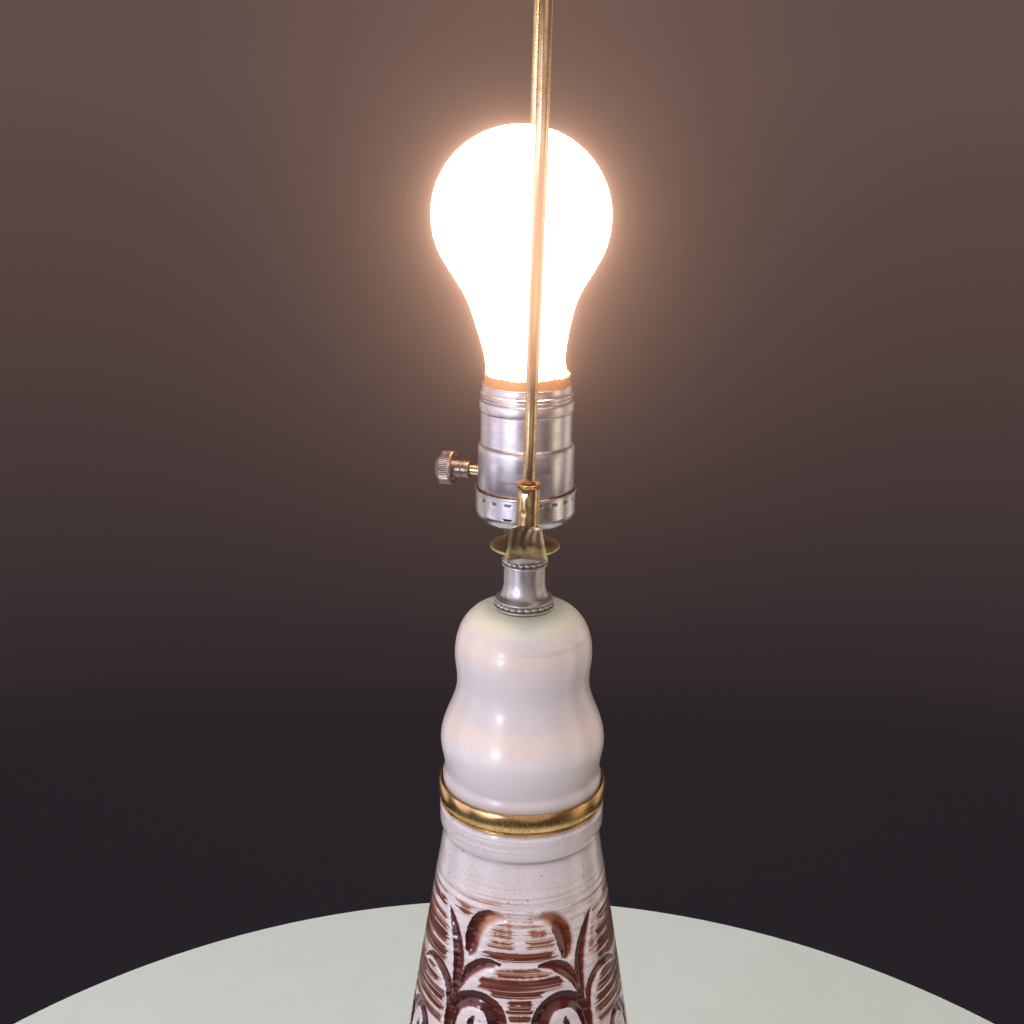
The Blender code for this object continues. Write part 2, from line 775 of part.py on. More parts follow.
def make_finial():
    """A turned ball finial and the threaded bush in its foot, with room for a lampshade's ring under them."""
    low = harp_height + seat_gap + stud_flange_thickness + shade_ring_room
    bore = stud_post_radius + slide_gap
    bush_radius = bore + bush_wall
    outline = [(bore, low), (bush_radius, low), (bush_radius, low + bush_height), (bore, low + bush_height)]
    bush = turned("finial_bush", outline, small_segments, materials["brass"])
    place_on_harp(bush)
    socket = bush_radius + seat_gap
    roof = low + stud_post_height + slide_gap * 2
    ball = low + finial_neck_height + finial_ball_radius
    outline = [(socket, low), (finial_foot_radius, low), (finial_foot_radius, low + finial_foot_height / 2),
               (finial_neck_radius, low + finial_foot_height)]
    outline += arc((0, ball), (finial_ball_radius, finial_ball_radius), finial_ball_start_degrees, 90, 5)[:-1]
    outline += [(0, ball + finial_ball_radius), (0, roof), (socket, roof)]
    shape = spin_outline(outline, small_segments)
    finial = add_object("finial", shape, materials["brass"])
    place_on_harp(finial)


def make_cap():
    """The socket cap: a hub on the pipe, a shallow bowl and an upright band with a rolled rim."""
    hub_top = cap_hub_height
    floor = hub_top + cap_floor_rise
    corner = floor + cap_corner_rise
    rim = corner + cap_band_height
    bore = pipe_radius + cap_hub_bore_clearance
    wall = cap_wall
    band = cap_band_radius
    bowl = (band - cap_floor_radius, corner - floor)
    lining = (bowl[0] - wall, bowl[1] - wall)
    outline = [(bore, 0), (cap_hub_radius, 0), (cap_hub_radius, hub_top)]
    outline += arc((cap_floor_radius, corner), bowl, -90, 0, 4)
    outline += [(band, rim - cap_rim_height), (cap_rim_radius, rim - cap_rim_height / 2), (band, rim),
                (band - wall, rim), (band - wall, corner)]
    outline += arc((cap_floor_radius, corner), lining, 0, -90, 3)[1:]
    outline += [(cap_hub_radius - wall, hub_top + wall), (bore, hub_top + wall)]
    cap = turned("socket_cap", outline, socket_segments, materials["aluminium"])
    cap.location.z = cap_bottom
    hole = cap_screw_radius + seat_gap
    cut(cap, rod_cutter("cap_screw_cutter", hole, pipe_radius, cap_hub_radius + cut_overrun,
                        cap_screw_placing()))


def cap_screw_placing():
    """Frame of the cap's set screw: its Z points out of the hub at the back."""
    turn = Matrix.Rotation(-math.pi / 2, 4, "X")
    return Matrix.Translation((0, 0, cap_bottom + cap_hub_height / 2)) @ turn


def make_cap_screw():
    """The set screw that locks the hub on the pipe."""
    end = cap_hub_radius + cap_screw_proud
    start = end - cap_screw_length
    outline = [(0, start), (cap_screw_radius, start), (cap_screw_radius, end), (0, end)]
    screw = turned("cap_set_screw", outline, tiny_segments, materials["steel"], closed=False)
    screw.matrix_world = cap_screw_placing()
    half = screw_slot_width / 2
    reach = cap_screw_radius + cut_overrun
    cut(screw, box_cutter("cap_screw_slot_cutter", (-reach, -half, end - screw_slot_depth),
                          (reach, half, end + cut_overrun), cap_screw_placing()))


def make_cap_liner():
    """The paper cup inside the cap."""
    low = cap_bottom + cap_hub_height + cap_floor_rise + cap_wall + seat_gap
    radius = cap_floor_radius
    wall = cap_liner_thickness
    hole = pipe_radius + pipe_hole_clearance
    outline = [(hole, low), (radius, low), (radius, low + wall), (hole, low + wall)]
    turned("cap_liner", outline, small_segments, materials["paper"])


def shell_outline():
    """Outside of the socket shell from its bottom edge up, as (radius, height)."""
    step = shell_step_height
    bead_half = shell_bead_width / 2
    bead = (shell_waist_radius, shell_bead_height + bead_half)
    ridge_low = shell_bead_height + shell_bead_width
    outline = [(shell_barrel_radius, 0), (shell_barrel_radius, step),
               (shell_waist_radius, step + shell_step_rise)]
    outline += arc(bead, (shell_bead_radius - shell_waist_radius, bead_half), -90, 90, 4)
    outline += [(shell_ridge_groove_radius, ridge_low + shell_ridge_pitch / 2),
                (shell_ridge_radius, ridge_low + shell_ridge_pitch),
                (shell_ridge_groove_radius, ridge_low + shell_ridge_pitch * 3 / 2),
                (shell_ridge_radius, ridge_low + shell_ridge_pitch * 2),
                (shell_rim_radius, ridge_low + shell_ridge_pitch * 5 / 2),
                (shell_rim_radius, shell_height)]
    return outline


def switch_placing():
    """Frame of the switch: its Z points out of the socket's side along the shaft."""
    turn = Matrix.Rotation(math.radians(switch_azimuth_degrees), 4, "Z")
    tip = Matrix.Rotation(math.pi / 2, 4, "Y")
    return Matrix.Translation((0, 0, shell_bottom + switch_height)) @ turn @ tip


def make_shell():
    """The aluminium socket shell with its step, bead and screw ridges."""
    outside = shell_outline()
    wall = shell_wall
    step = shell_step_height
    inside = [(shell_rim_radius - wall, shell_height),
              (shell_rim_radius - wall, shell_height - shell_ridge_pitch * 3 / 2),
              (shell_waist_radius - wall, shell_bead_height),
              (shell_waist_radius - wall, step + shell_step_rise),
              (shell_barrel_radius - wall, step - wall),
              (shell_barrel_radius - wall, 0)]
    shell = turned("socket_shell", outside + inside, socket_segments, materials["aluminium"])
    shell.location.z = shell_bottom
    hole = switch_shaft_radius + switch_hole_clearance
    cut(shell, rod_cutter("shell_switch_cutter", hole, screw_shell_outer_radius,
                          shell_barrel_radius + cut_overrun, switch_placing()))


def make_liner():
    """The cardboard sleeve inside the shell, standing proud of its rim."""
    low = shell_bottom + seat_gap
    high = shell_top + liner_proud
    outline = [(liner_inner_radius, low), (liner_outer_radius, low), (liner_outer_radius, high),
               (liner_inner_radius, high)]
    liner = turned("cardboard_liner", outline, socket_segments, materials["paper"])
    hole = switch_shaft_radius + switch_hole_clearance
    cut(liner, rod_cutter("liner_switch_cutter", hole, works_radius - cut_overrun,
                          shell_barrel_radius, switch_placing()))


def terminal_placing(side):
    """Frame of a terminal screw: its Z points out of the works along Y."""
    turn = Matrix.Rotation(-side * math.pi / 2, 4, "X")
    return Matrix.Translation((0, 0, works_bottom + terminal_height)) @ turn


def make_works():
    """The moulded block that holds the switch, the screws and the contact."""
    neck = works_height - works_neck_height
    outline = [(0, 0), (works_radius, 0), (works_radius, neck),
               (screw_shell_outer_radius - terminal_head, works_height), (0, works_height)]
    works = turned("socket_works", outline, small_segments, materials["phenolic"], closed=False)
    works.location.z = works_bottom
    hole = switch_shaft_radius + switch_hole_clearance
    cut(works, rod_cutter("works_switch_cutter", hole, switch_shaft_root - slide_gap,
                          works_radius + cut_overrun, switch_placing()))
    face = works_radius - terminal_flat_depth
    head = terminal_radius + slide_gap
    for side in (-1, 1):
        placing = terminal_placing(side)
        cut(works, box_cutter(f"terminal_flat_cutter_{side + 1}", (-head, -head, face),
                              (head, head, works_radius + cut_overrun), placing))
        cut(works, rod_cutter(f"terminal_hole_cutter_{side + 1}", terminal_shank_radius + seat_gap,
                              face - terminal_shank_length - seat_gap, face + cut_overrun, placing))


def make_terminal(name, side, metal):
    """A slotted terminal screw with a pan head."""
    face = works_radius - terminal_flat_depth + seat_gap
    top = face + terminal_head
    tip = face - terminal_shank_length
    outline = [(0, tip), (terminal_shank_radius, tip), (terminal_shank_radius, face), (terminal_radius, face),
               (terminal_radius, top), (0, top)]
    screw = turned(name, outline, tiny_segments, metal, closed=False)
    placing = terminal_placing(side)
    screw.matrix_world = placing
    half = screw_slot_width / 2
    reach = terminal_radius + cut_overrun
    cut(screw, box_cutter(name + "_slot_cutter", (-reach, -half, top - screw_slot_depth),
                          (reach, half, top + cut_overrun), placing))


def thread_radius(mean, angle, height):
    """Radius of the rounded right-hand Edison thread at an angle and a height above the works."""
    phase = math.tau * (height - works_top) / thread_pitch - angle
    return mean + thread_depth * math.cos(phase)


def threaded_rows(low, high):
    """Heights of a thread's rows."""
    count = round((high - low) / thread_pitch * thread_rows_per_turn)
    return [low + (high - low) * index / count for index in range(count + 1)]


def threaded_sleeve(name, mean, rows, ends, plain_points, material):
    """A sleeve with one threaded wall, run out to the end radius at both ends, and one plain wall."""
    shape = bmesh.new()
    rings = []
    for row, height in enumerate(rows):
        ring = []
        for step in range(thread_segments):
            angle = math.tau * step / thread_segments
            radius = thread_radius(mean, angle, height)
            if row in (0, len(rows) - 1):
                radius = ends
            ring.append(shape.verts.new((radius * math.cos(angle), radius * math.sin(angle), height)))
        rings.append(ring)
    for radius, height in plain_points:
        ring = []
        for step in range(thread_segments):
            angle = math.tau * step / thread_segments
            ring.append(shape.verts.new((radius * math.cos(angle), radius * math.sin(angle), height)))
        rings.append(ring)
    for ring, following in zip(rings, rings[1:] + rings[:1]):
        for step in range(thread_segments):
            after = (step + 1) % thread_segments
            shape.faces.new((ring[step], ring[after], following[after], following[step]))
    bmesh.ops.recalc_face_normals(shape, faces=shape.faces)
    return add_object(name, shape, material)


def make_screw_shell():
    """The socket's threaded brass sleeve, standing on the works."""
    low = works_top + seat_gap
    high = low + screw_shell_height
    rows = threaded_rows(low, high)
    outer = screw_shell_outer_radius
    ends = outer - screw_shell_wall
    threaded_sleeve("screw_shell", screw_shell_mean_radius, rows, ends,
                    [(outer, high), (outer, low)], materials["brass"])


def make_contact():
    """The centre contact on the works."""
    low = contact_bottom
    high = low + contact_thickness
    outline = [(0, low), (contact_radius, low), (contact_radius, high - contact_thickness / 2),
               (contact_radius - contact_thickness, high), (0, high)]
    turned("centre_contact", outline, tiny_segments, materials["brass"], closed=False)


def make_switch_shaft():
    """The switch's shaft, from its seat in the works out through the shell."""
    outline = [(0, switch_shaft_root), (switch_shaft_radius, switch_shaft_root),
               (switch_shaft_radius, switch_shaft_end), (0, switch_shaft_end)]
    shaft = turned("switch_shaft", outline, tiny_segments, materials["brass"], closed=False)
    shaft.matrix_world = switch_placing()


def make_knob():
    """The turn knob: a grooved neck, a dished back and a straight-knurled drum with a domed face."""
    bore = switch_shaft_radius + seat_gap
    neck = knob_neck_radius
    groove = neck - knob_neck_groove_depth
    start = knob_neck_start
    back = knob_drum_start
    middle = (start + back) / 2
    front = back + knob_drum_length
    drum = knob_drum_radius
    rim = drum - knob_knurl_depth * 2
    deep = back + knob_dish_depth
    half_groove = knob_neck_groove_depth
    outline = [(bore, start), (neck, start), (neck, middle - half_groove), (groove, middle),
               (neck, middle + half_groove),
               (neck, deep), (rim - knob_dish_depth, back + knob_dish_depth / 2), (rim, back),
               (drum, back + knob_knurl_depth), (drum, front - knob_knurl_depth), (rim, front),
               (rim * knob_face_flat_share, front + knob_dome_height * knob_face_rise_share),
               (0, front + knob_dome_height),
               (0, switch_shaft_end + seat_gap), (bore, switch_shaft_end + seat_gap)]
    shape = spin_outline(outline, knob_knurl_count * 2)
    for point in shape.verts:
        radius = math.hypot(point.co.x, point.co.y)
        if abs(radius - drum) < match_distance:
            tooth = round(math.atan2(point.co.y, point.co.x) / math.tau * knob_knurl_count * 2) % 2
            share = (drum - knob_knurl_depth * tooth) / radius
            point.co.x *= share
            point.co.y *= share
    knob = add_object("switch_knob", shape, materials["nickel"])
    knob.matrix_world = switch_placing()


def make_bulb_base():
    """The bulb's threaded base, its black insulator and the solder tip."""
    low = bulb_base_bottom
    skirt = bulb_base_top - bulb_skirt_height
    ends = thread_mean_radius - thread_depth
    inner = ends - bulb_base_wall
    skirt_inner = bulb_skirt_radius - bulb_base_wall
    plain = [(bulb_skirt_radius, skirt + thread_depth), (bulb_skirt_radius, bulb_base_top),
             (skirt_inner, bulb_base_top), (inner, skirt), (inner, low)]
    rows = threaded_rows(low, skirt)
    threaded_sleeve("bulb_base", thread_mean_radius, rows, ends, plain, materials["nickel"])
    foot = insulator_bottom
    high = foot + bulb_insulator_height
    outline = [(0, foot), (bulb_tip_radius, foot), (bulb_insulator_radius, high), (0, high)]
    turned("bulb_insulator", outline, small_segments, materials["phenolic"], closed=False)
    tip = bulb_tip_bottom
    tip_top = tip + bulb_tip_height
    flat = bulb_tip_radius * bulb_tip_flat_share
    outline = [(0, tip), (flat, tip), (bulb_tip_radius, tip_top), (0, tip_top)]
    turned("bulb_tip_contact", outline, tiny_segments, materials["solder"], closed=False)


def lean_bulb(shape):
    """Shear what stands above the base, so that the bulb leans a little to the left."""
    slope = math.tan(math.radians(bulb_lean_degrees))
    for point in shape.verts:
        point.co.x -= slope * max(0, point.co.z - bulb_base_top)


def bulb_outline():
    """Outside of the glass from its inserted neck up to the crown."""
    base = bulb_base_top
    centre = (0, base + bulb_radius_height)
    ball = arc(centre, (bulb_radius, bulb_radius), bulb_flank_degrees, 0, 2)
    flank = [Vector((bulb_neck_radius, base + bulb_skirt_height)),
             Vector((bulb_throat_radius, base + bulb_throat_height)),
             Vector((bulb_shoulder_radius, base + bulb_shoulder_height)), Vector(ball[0])]
    outline = [(bulb_neck_insert_radius, base - bulb_neck_insert_length), (bulb_neck_insert_radius, base)]
    outline += [(point.x, point.y) for point in smooth_line(flank, 2)[:-1]]
    outline += ball[:-1]
    outline += arc(centre, (bulb_radius, bulb_height - bulb_radius_height), 0, 90, 5)[:-1]
    outline.append((0, base + bulb_height))
    return outline


def make_bulb_glass():
    """The frosted envelope, a thin wall that is open at its neck."""
    wall = bulb_glass_wall
    base = bulb_base_top
    centre = (0, base + bulb_radius_height)
    radius = bulb_radius - wall
    crown = bulb_height - bulb_radius_height - wall
    inside = [(0, base + bulb_height - wall)]
    inside += arc(centre, (radius, crown), bulb_inner_crown_degrees, 0, 3)
    inside.append(arc(centre, (radius, radius), bulb_flank_degrees, 0, 1)[0])
    inside += [(bulb_shoulder_radius - wall, base + bulb_shoulder_height),
               (bulb_neck_radius - wall * 2, base + bulb_skirt_height * 2),
               (bulb_neck_insert_radius - wall, base),
               (bulb_neck_insert_radius - wall, base - bulb_neck_insert_length)]
    shape = spin_outline(bulb_outline() + inside, socket_segments)
    lean_bulb(shape)
    add_object("bulb_glass", shape, materials["frosted_glass"])


def make_bulb_stem():
    """The glass stem inside the bulb, flared at its foot."""
    low = bulb_base_top - bulb_neck_insert_length
    high = low + stem_height
    outline = [(0, low), (stem_flare_radius, low), (stem_flare_radius, low + stem_flare_height / 2),
               (stem_tube_radius, low + stem_flare_height * 2), (stem_tube_radius / 2, high), (0, high)]
    shape = spin_outline(outline, tiny_segments, closed=False)
    lean_bulb(shape)
    add_object("bulb_stem", shape, materials["clear_glass"])


def make_filament():
    """The filament on its two wires, one tube that hangs in an arc above the stem."""
    base = bulb_base_top - bulb_neck_insert_length + stem_height + seat_gap
    half = filament_span / 2
    rise = filament_rise
    foot = stem_tube_radius / 2
    side = [Vector((half * wide, base + rise * high))
            for wide, high in zip(filament_span_shares, filament_rise_shares)]
    mirrored = [Vector((-point.x, point.y)) for point in side[:2]]
    route = [Vector((-foot, base))] + mirrored + [side[2], side[1], side[0], Vector((foot, base))]
    line = smooth_line(route, 3)
    wire = (filament_wire_radius, filament_wire_radius, round_section)
    shape = sweep(line, wire_sides, [wire] * len(line))
    lean_bulb(shape)
    add_object("bulb_filament", shape, materials["tungsten"])


clear_scene()
materials = {
    "felt": finish("felt", (0.05, 0.16, 0.08), 0.95, 0.0),
    "glaze": finish("glaze", (0.80, 0.75, 0.70), 0.18, 0.0),
    "brass": finish("brass", (0.62, 0.44, 0.18), 0.28, 1.0),
    "nickel": finish("nickel", (0.60, 0.58, 0.55), 0.25, 1.0),
    "steel": finish("steel", (0.50, 0.50, 0.50), 0.40, 1.0),
    "aluminium": finish("aluminium", (0.72, 0.72, 0.73), 0.35, 1.0),
    "paper": finish("paper", (0.33, 0.17, 0.08), 0.90, 0.0),
    "phenolic": finish("phenolic", (0.04, 0.03, 0.03), 0.45, 0.0),
    "bakelite": finish("bakelite", (0.10, 0.06, 0.04), 0.40, 0.0),
    "solder": finish("solder", (0.70, 0.70, 0.68), 0.45, 1.0),
    "frosted_glass": finish("frosted_glass", (0.95, 0.93, 0.88), 0.55, 0.0),
    "clear_glass": finish("clear_glass", (0.90, 0.92, 0.92), 0.05, 0.0),
    "tungsten": finish("tungsten", (0.30, 0.30, 0.32), 0.40, 1.0),
}
make_felt()
make_lower_body()
make_outlet()
make_ring()
make_upper_body()
make_neck()
make_pipe()
make_pipe_clamp()
make_saddle()
make_harp()
make_ferrule("ferrule_front", -1)
make_ferrule("ferrule_back", 1)
make_stud()
make_finial()
make_cap()
make_cap_screw()
make_cap_liner()
make_shell()
make_liner()
make_works()
make_terminal("terminal_screw_brass", -1, materials["brass"])
make_terminal("terminal_screw_nickel", 1, materials["nickel"])
make_screw_shell()
make_contact()
make_switch_shaft()
make_knob()
make_bulb_base()
make_bulb_glass()
make_bulb_stem()
make_filament()
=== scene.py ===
"""The looks of a ceramic table lamp with a carved, dry-brushed body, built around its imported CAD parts."""
import json
import math

import bmesh
import bpy
import numpy as np
from mathutils import Matrix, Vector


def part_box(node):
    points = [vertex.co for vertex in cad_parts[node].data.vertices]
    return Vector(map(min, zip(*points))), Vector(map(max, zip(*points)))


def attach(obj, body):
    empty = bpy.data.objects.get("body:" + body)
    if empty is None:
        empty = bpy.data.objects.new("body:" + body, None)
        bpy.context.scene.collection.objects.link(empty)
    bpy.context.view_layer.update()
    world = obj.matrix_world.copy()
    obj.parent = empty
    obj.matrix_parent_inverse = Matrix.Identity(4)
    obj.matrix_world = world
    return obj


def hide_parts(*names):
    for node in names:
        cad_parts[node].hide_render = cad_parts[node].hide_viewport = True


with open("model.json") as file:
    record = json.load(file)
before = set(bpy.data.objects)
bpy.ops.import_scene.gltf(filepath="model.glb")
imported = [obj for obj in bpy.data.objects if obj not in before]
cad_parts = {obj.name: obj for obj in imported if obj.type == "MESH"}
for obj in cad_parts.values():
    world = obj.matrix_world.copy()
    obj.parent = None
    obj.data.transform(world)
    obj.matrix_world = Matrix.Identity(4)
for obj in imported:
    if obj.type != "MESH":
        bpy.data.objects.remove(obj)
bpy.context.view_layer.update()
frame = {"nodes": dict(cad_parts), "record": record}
nodes = frame["nodes"]
scene = bpy.context.scene

# Camera, as the photograph was taken: metres and degrees
camera_place = (0, -0.4403, 0.612)
camera_pitch = 17.289
camera_roll = 0.582
camera_yaw = -0.618
focal_pixels = 1300
frame_pixels = 1024
sensor_width = 36

# Heights that the CAD parts give
body_low, body_high = (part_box("lower_body")[end][2] for end in (0, 1))
ring_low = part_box("brass_ring")[0][2]
upper_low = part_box("upper_body")[0][2]
neck_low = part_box("neck_spacer")[0][2]
saddle_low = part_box("harp_saddle")[0][2]
cap_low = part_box("socket_cap")[0][2]
shell_low, shell_high = (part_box("socket_shell")[end][2] for end in (0, 1))
liner_low, liner_high = (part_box("cardboard_liner")[end][2] for end in (0, 1))
glass_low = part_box("bulb_glass")[0][2]

# Gap between fitted parts, and how near two radii are where they count as the same
fitting_gap = 0.0003
exact = 0.00001


def clamp(value):
    """A value kept between 0 and 1."""
    return np.clip(value, 0, 1)


def wrapped(angle, turn=math.tau):
    """An angle brought to between minus and plus half a turn."""
    return (angle + turn / 2) % turn - turn / 2


def dimple(across, up, half_width, half_height):
    """A soft round dent, 1 at its middle."""
    return np.exp(-(across / half_width) ** 2 - (up / half_height) ** 2)


def box_dent(across, up, half_width, half_height):
    """A flat dent with soft edges, 1 inside and 0 outside."""
    sides = clamp((1 - np.abs(across) / half_width) * 3 + 0.5)
    ends = clamp((1 - np.abs(up) / half_height) * 2 + 0.5)
    return sides * ends


def smooth_line(points, steps):
    """A Catmull-Rom curve through given points."""
    points = [np.array(point, float) for point in points]
    ends = [points[0] * 2 - points[1]] + points + [points[-1] * 2 - points[-2]]
    made = []
    for before, start, stop, after in zip(ends, ends[1:], ends[2:], ends[3:]):
        for index in range(steps):
            t = index / steps
            made.append(0.5 * (2 * start + (stop - before) * t
                               + (2 * before - 5 * start + 4 * stop - after) * t ** 2
                               + (3 * start - before - 3 * stop + after) * t ** 3))
    made.append(points[-1])
    return np.array(made)


def directions(line):
    """Unit vectors along a line of points."""
    along = np.gradient(line, axis=0)
    return along / np.linalg.norm(along, axis=1)[:, None]


def arc(centre, radii, start_degrees, end_degrees, steps):
    """Points on the arc of an ellipse, or of a circle where radii is one number, both ends included."""
    across, up = radii if isinstance(radii, tuple) else (radii, radii)
    angles = np.radians(np.linspace(start_degrees, end_degrees, steps + 1))
    return [(centre[0] + across * math.cos(a), centre[1] + up * math.sin(a)) for a in angles]


def swell(low, high, steps):
    """Half a cosine wave from one (radius, height) to the next, without its last point."""
    made = []
    for index in range(steps):
        share = index / steps
        ease = (1 - math.cos(math.pi * share)) / 2
        made.append((low[0] + (high[0] - low[0]) * ease, low[1] + (high[1] - low[1]) * share))
    return made


def straight(radius, heights):
    """Points up a straight wall."""
    return [(radius, height) for height in heights]


def ring_faces(rows, columns, closed):
    """Faces between rows of points that run round. closed joins the last row to the first."""
    low = np.arange(rows if closed else rows - 1)[:, None]
    high = (low + 1) % rows
    here = np.arange(columns)
    after = (here + 1) % columns
    corners = (low * columns + here, low * columns + after, high * columns + after, high * columns + here)
    return np.stack(corners, -1).reshape(-1, 4).tolist()


def turned_mesh(outline, columns, closed=True, relief=None):
    """Vertices and faces of a turned piece. relief gives what to add to the radius, by angle, radius and
    height."""
    radius, height = np.array(outline, float).T[:, :, None]
    angle = np.arange(columns) * math.tau / columns
    grown = np.repeat(radius, columns, 1)
    if relief is not None:
        grown = grown + relief(angle[None, :], radius, height)
    corners = (grown * np.cos(angle), grown * np.sin(angle), np.repeat(height, columns, 1))
    return np.stack(corners, -1).reshape(-1, 3), ring_faces(len(outline), columns, closed)


def swept_mesh(line, sides, sections):
    """A closed tube along (y, z) points. A section is half its depth, half its width and its roundness."""
    line = np.array(line, float)
    along = directions(line)
    normal = np.stack([along[:, 1], -along[:, 0]], -1)
    deep, wide, roundness = np.array(sections, float).T[:, :, None]
    angle = (np.arange(sides) + 0.5)[None, :] * math.tau / sides
    outward = np.sign(np.cos(angle)) * np.abs(np.cos(angle)) ** roundness * deep
    across = np.sign(np.sin(angle)) * np.abs(np.sin(angle)) ** roundness * wide
    y = line[:, :1] + normal[:, :1] * outward
    z = line[:, 1:] + normal[:, 1:] * outward
    faces = ring_faces(len(line), sides, closed=False)
    faces += [[row * sides + step for step in range(sides)] for row in (0, len(line) - 1)]
    return np.stack([-across, y, z], -1).reshape(-1, 3), faces


def joined(*pieces):
    """Several meshes' vertices and faces as one mesh."""
    points = []
    sides = []
    start = 0
    for vertices, faces in pieces:
        points.append(vertices)
        sides += [[corner + start for corner in face] for face in faces]
        start += len(vertices)
    return np.concatenate(points), sides


def lift(height):
    """A move straight up."""
    return Matrix.Translation((0, 0, height))


def placed(vertices, placing):
    """Vertices moved by a matrix."""
    turn = np.array(placing.to_3x3())
    return vertices @ turn.T + np.array(placing.translation)


def widened(vertices, share):
    """Vertices with their distance from the Z axis multiplied."""
    return vertices * np.stack([share, share, np.ones_like(share)], -1)


def around(vertices):
    """Each vertex's distance from the Z axis and its angle about it."""
    return np.hypot(vertices[:, 0], vertices[:, 1]), np.arctan2(vertices[:, 1], vertices[:, 0])


def add_piece(name, body, slot, node, mesh_data, finish=None, placing=None, values=None, sharp_degrees=40):
    """A smooth-shaded piece that rides on a body and replaces a CAD node. It has its slot's finish or one of
    its own. values are numbers at its points, for its material."""
    vertices, faces = mesh_data
    if placing is not None:
        vertices = placed(vertices, placing)
    mesh = bpy.data.meshes.new(name)
    mesh.from_pydata(vertices.tolist(), [], faces)
    for label, numbers in (values or {}).items():
        layer = mesh.attributes.new(label, "FLOAT", "POINT")
        layer.data.foreach_set("value", np.asarray(numbers, np.float32))
    shape = bmesh.new()
    shape.from_mesh(mesh)
    bmesh.ops.remove_doubles(shape, verts=shape.verts, dist=0.000001)
    bmesh.ops.recalc_face_normals(shape, faces=shape.faces)
    shape.to_mesh(mesh)
    shape.free()
    mesh.materials.append((finish or slot_finishes[slot]).material)
    mesh.shade_smooth()
    mesh.set_sharp_from_angle(angle=math.radians(sharp_degrees))
    piece = bpy.data.objects.new(name, mesh)
    scene.collection.objects.link(piece)
    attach(piece, body)
    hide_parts(node)


class Value:
    """What a material works out at each point. Arithmetic with values adds the nodes for it."""

    def __init__(self, finish, socket):
        self.finish = finish
        self.socket = socket

    def calculate(self, operation, other=0.0):
        """A Math node on this value and another one or a number."""
        made = self.finish.node("ShaderNodeMath", operation=operation)
        self.finish.feed(made.inputs[0], self)
        self.finish.feed(made.inputs[1], other)
        return Value(self.finish, made.outputs[0])

    def __add__(self, other):
        return self.calculate("ADD", other)

    def __sub__(self, other):
        return self.calculate("SUBTRACT", other)

    def __mul__(self, other):
        return self.calculate("MULTIPLY", other)

    def __abs__(self):
        return self.calculate("ABSOLUTE")

    def ramp(self, low, high, out_low=0.0, out_high=1.0):
        """A smooth step from out_low to out_high while this value goes from low to high."""
        made = self.finish.node("ShaderNodeMapRange", interpolation_type="SMOOTHSTEP")
        for socket, given in zip(made.inputs, (self, low, high, out_low, out_high)):
            self.finish.feed(socket, given)
        return Value(self.finish, made.outputs[0])


class Finish:
    """One material: its Principled shader, and short calls for the nodes before it."""

    def __init__(self, name, **sockets):
        self.material = bpy.data.materials.new(name)
        self.material.use_nodes = True
        self.tree = self.material.node_tree
        self.shader = self.tree.nodes["Principled BSDF"]
        self.colour = None
        for socket, value in sockets.items():
            self.shader.inputs[socket.replace("_", " ")].default_value = value
        self.place = self.given("ShaderNodeTexCoord", "Object")

    def node(self, kind, **settings):
        made = self.tree.nodes.new(kind)
        for setting, value in settings.items():
            setattr(made, setting, value)
        return made

    def given(self, kind, output, **settings):
        """A value that a node gives with nothing fed to it."""
        return Value(self, self.node(kind, **settings).outputs[output])

    def feed(self, socket, value):
        """Link a value to a socket, or set the socket to a plain number or colour."""
        if isinstance(value, Value):
            self.tree.links.new(value.socket, socket)
        else:
            socket.default_value = value

    def drive(self, socket, value):
        """Feed one of the shader's own sockets."""
        self.feed(self.shader.inputs[socket], value)

    def paint(self, colour):
        """Set the base colour, and keep it for what is laid over it."""
        self.colour = colour
        self.drive("Base Color", colour)

    def cover(self, colour, share):
        """Lay another colour over the base colour, by a share from 0 to 1."""
        self.paint(self.mix(share, self.colour, colour))

    def mix(self, share, first, second):
        """One colour into another."""
        made = self.node("ShaderNodeMix", data_type="RGBA")
        self.feed(made.inputs["Factor"], share)
        for socket, colour in ((made.inputs[6], first), (made.inputs[7], second)):
            self.feed(socket, colour if isinstance(colour, Value) else (*colour, 1))
        return Value(self, made.outputs[2])

    def texture(self, kind, output, scale, stretch, **inputs):
        """A texture with about one feature per 1/scale metres."""
        place = self.node("ShaderNodeVectorMath", operation="MULTIPLY")
        self.feed(place.inputs[0], self.place)
        place.inputs[1].default_value = [scale * share for share in stretch]
        made = self.node(kind)
        self.tree.links.new(place.outputs[0], made.inputs["Vector"])
        for socket, value in {"Scale": 1, **inputs}.items():
            made.inputs[socket].default_value = value
        return Value(self, made.outputs[output])

    def noise(self, scale, stretch=(1, 1, 1), detail=2.0, roughness=0.5):
        """Noise from 0 to 1."""
        return self.texture("ShaderNodeTexNoise", "Fac", scale, stretch, Detail=detail, Roughness=roughness)

    def cells(self, scale):
        """Distance to the nearest of scattered points, in cells."""
        return self.texture("ShaderNodeTexVoronoi", "Distance", scale, (1, 1, 1))

    def attribute(self, name):
        """A number that the mesh carries at each point."""
        return self.given("ShaderNodeAttribute", "Fac", attribute_name=name)

    def height(self):
        """Height above the table in metres."""
        made = self.node("ShaderNodeSeparateXYZ")
        self.feed(made.inputs[0], self.place)
        return Value(self, made.outputs["Z"])

    def bump(self, height, depth, strength):
        """Relief too fine for the mesh, depth in metres."""
        made = self.node("ShaderNodeBump")
        made.inputs["Strength"].default_value = strength
        made.inputs["Distance"].default_value = depth
        self.feed(made.inputs["Height"], height)
        self.drive("Normal", Value(self, made.outputs["Normal"]))


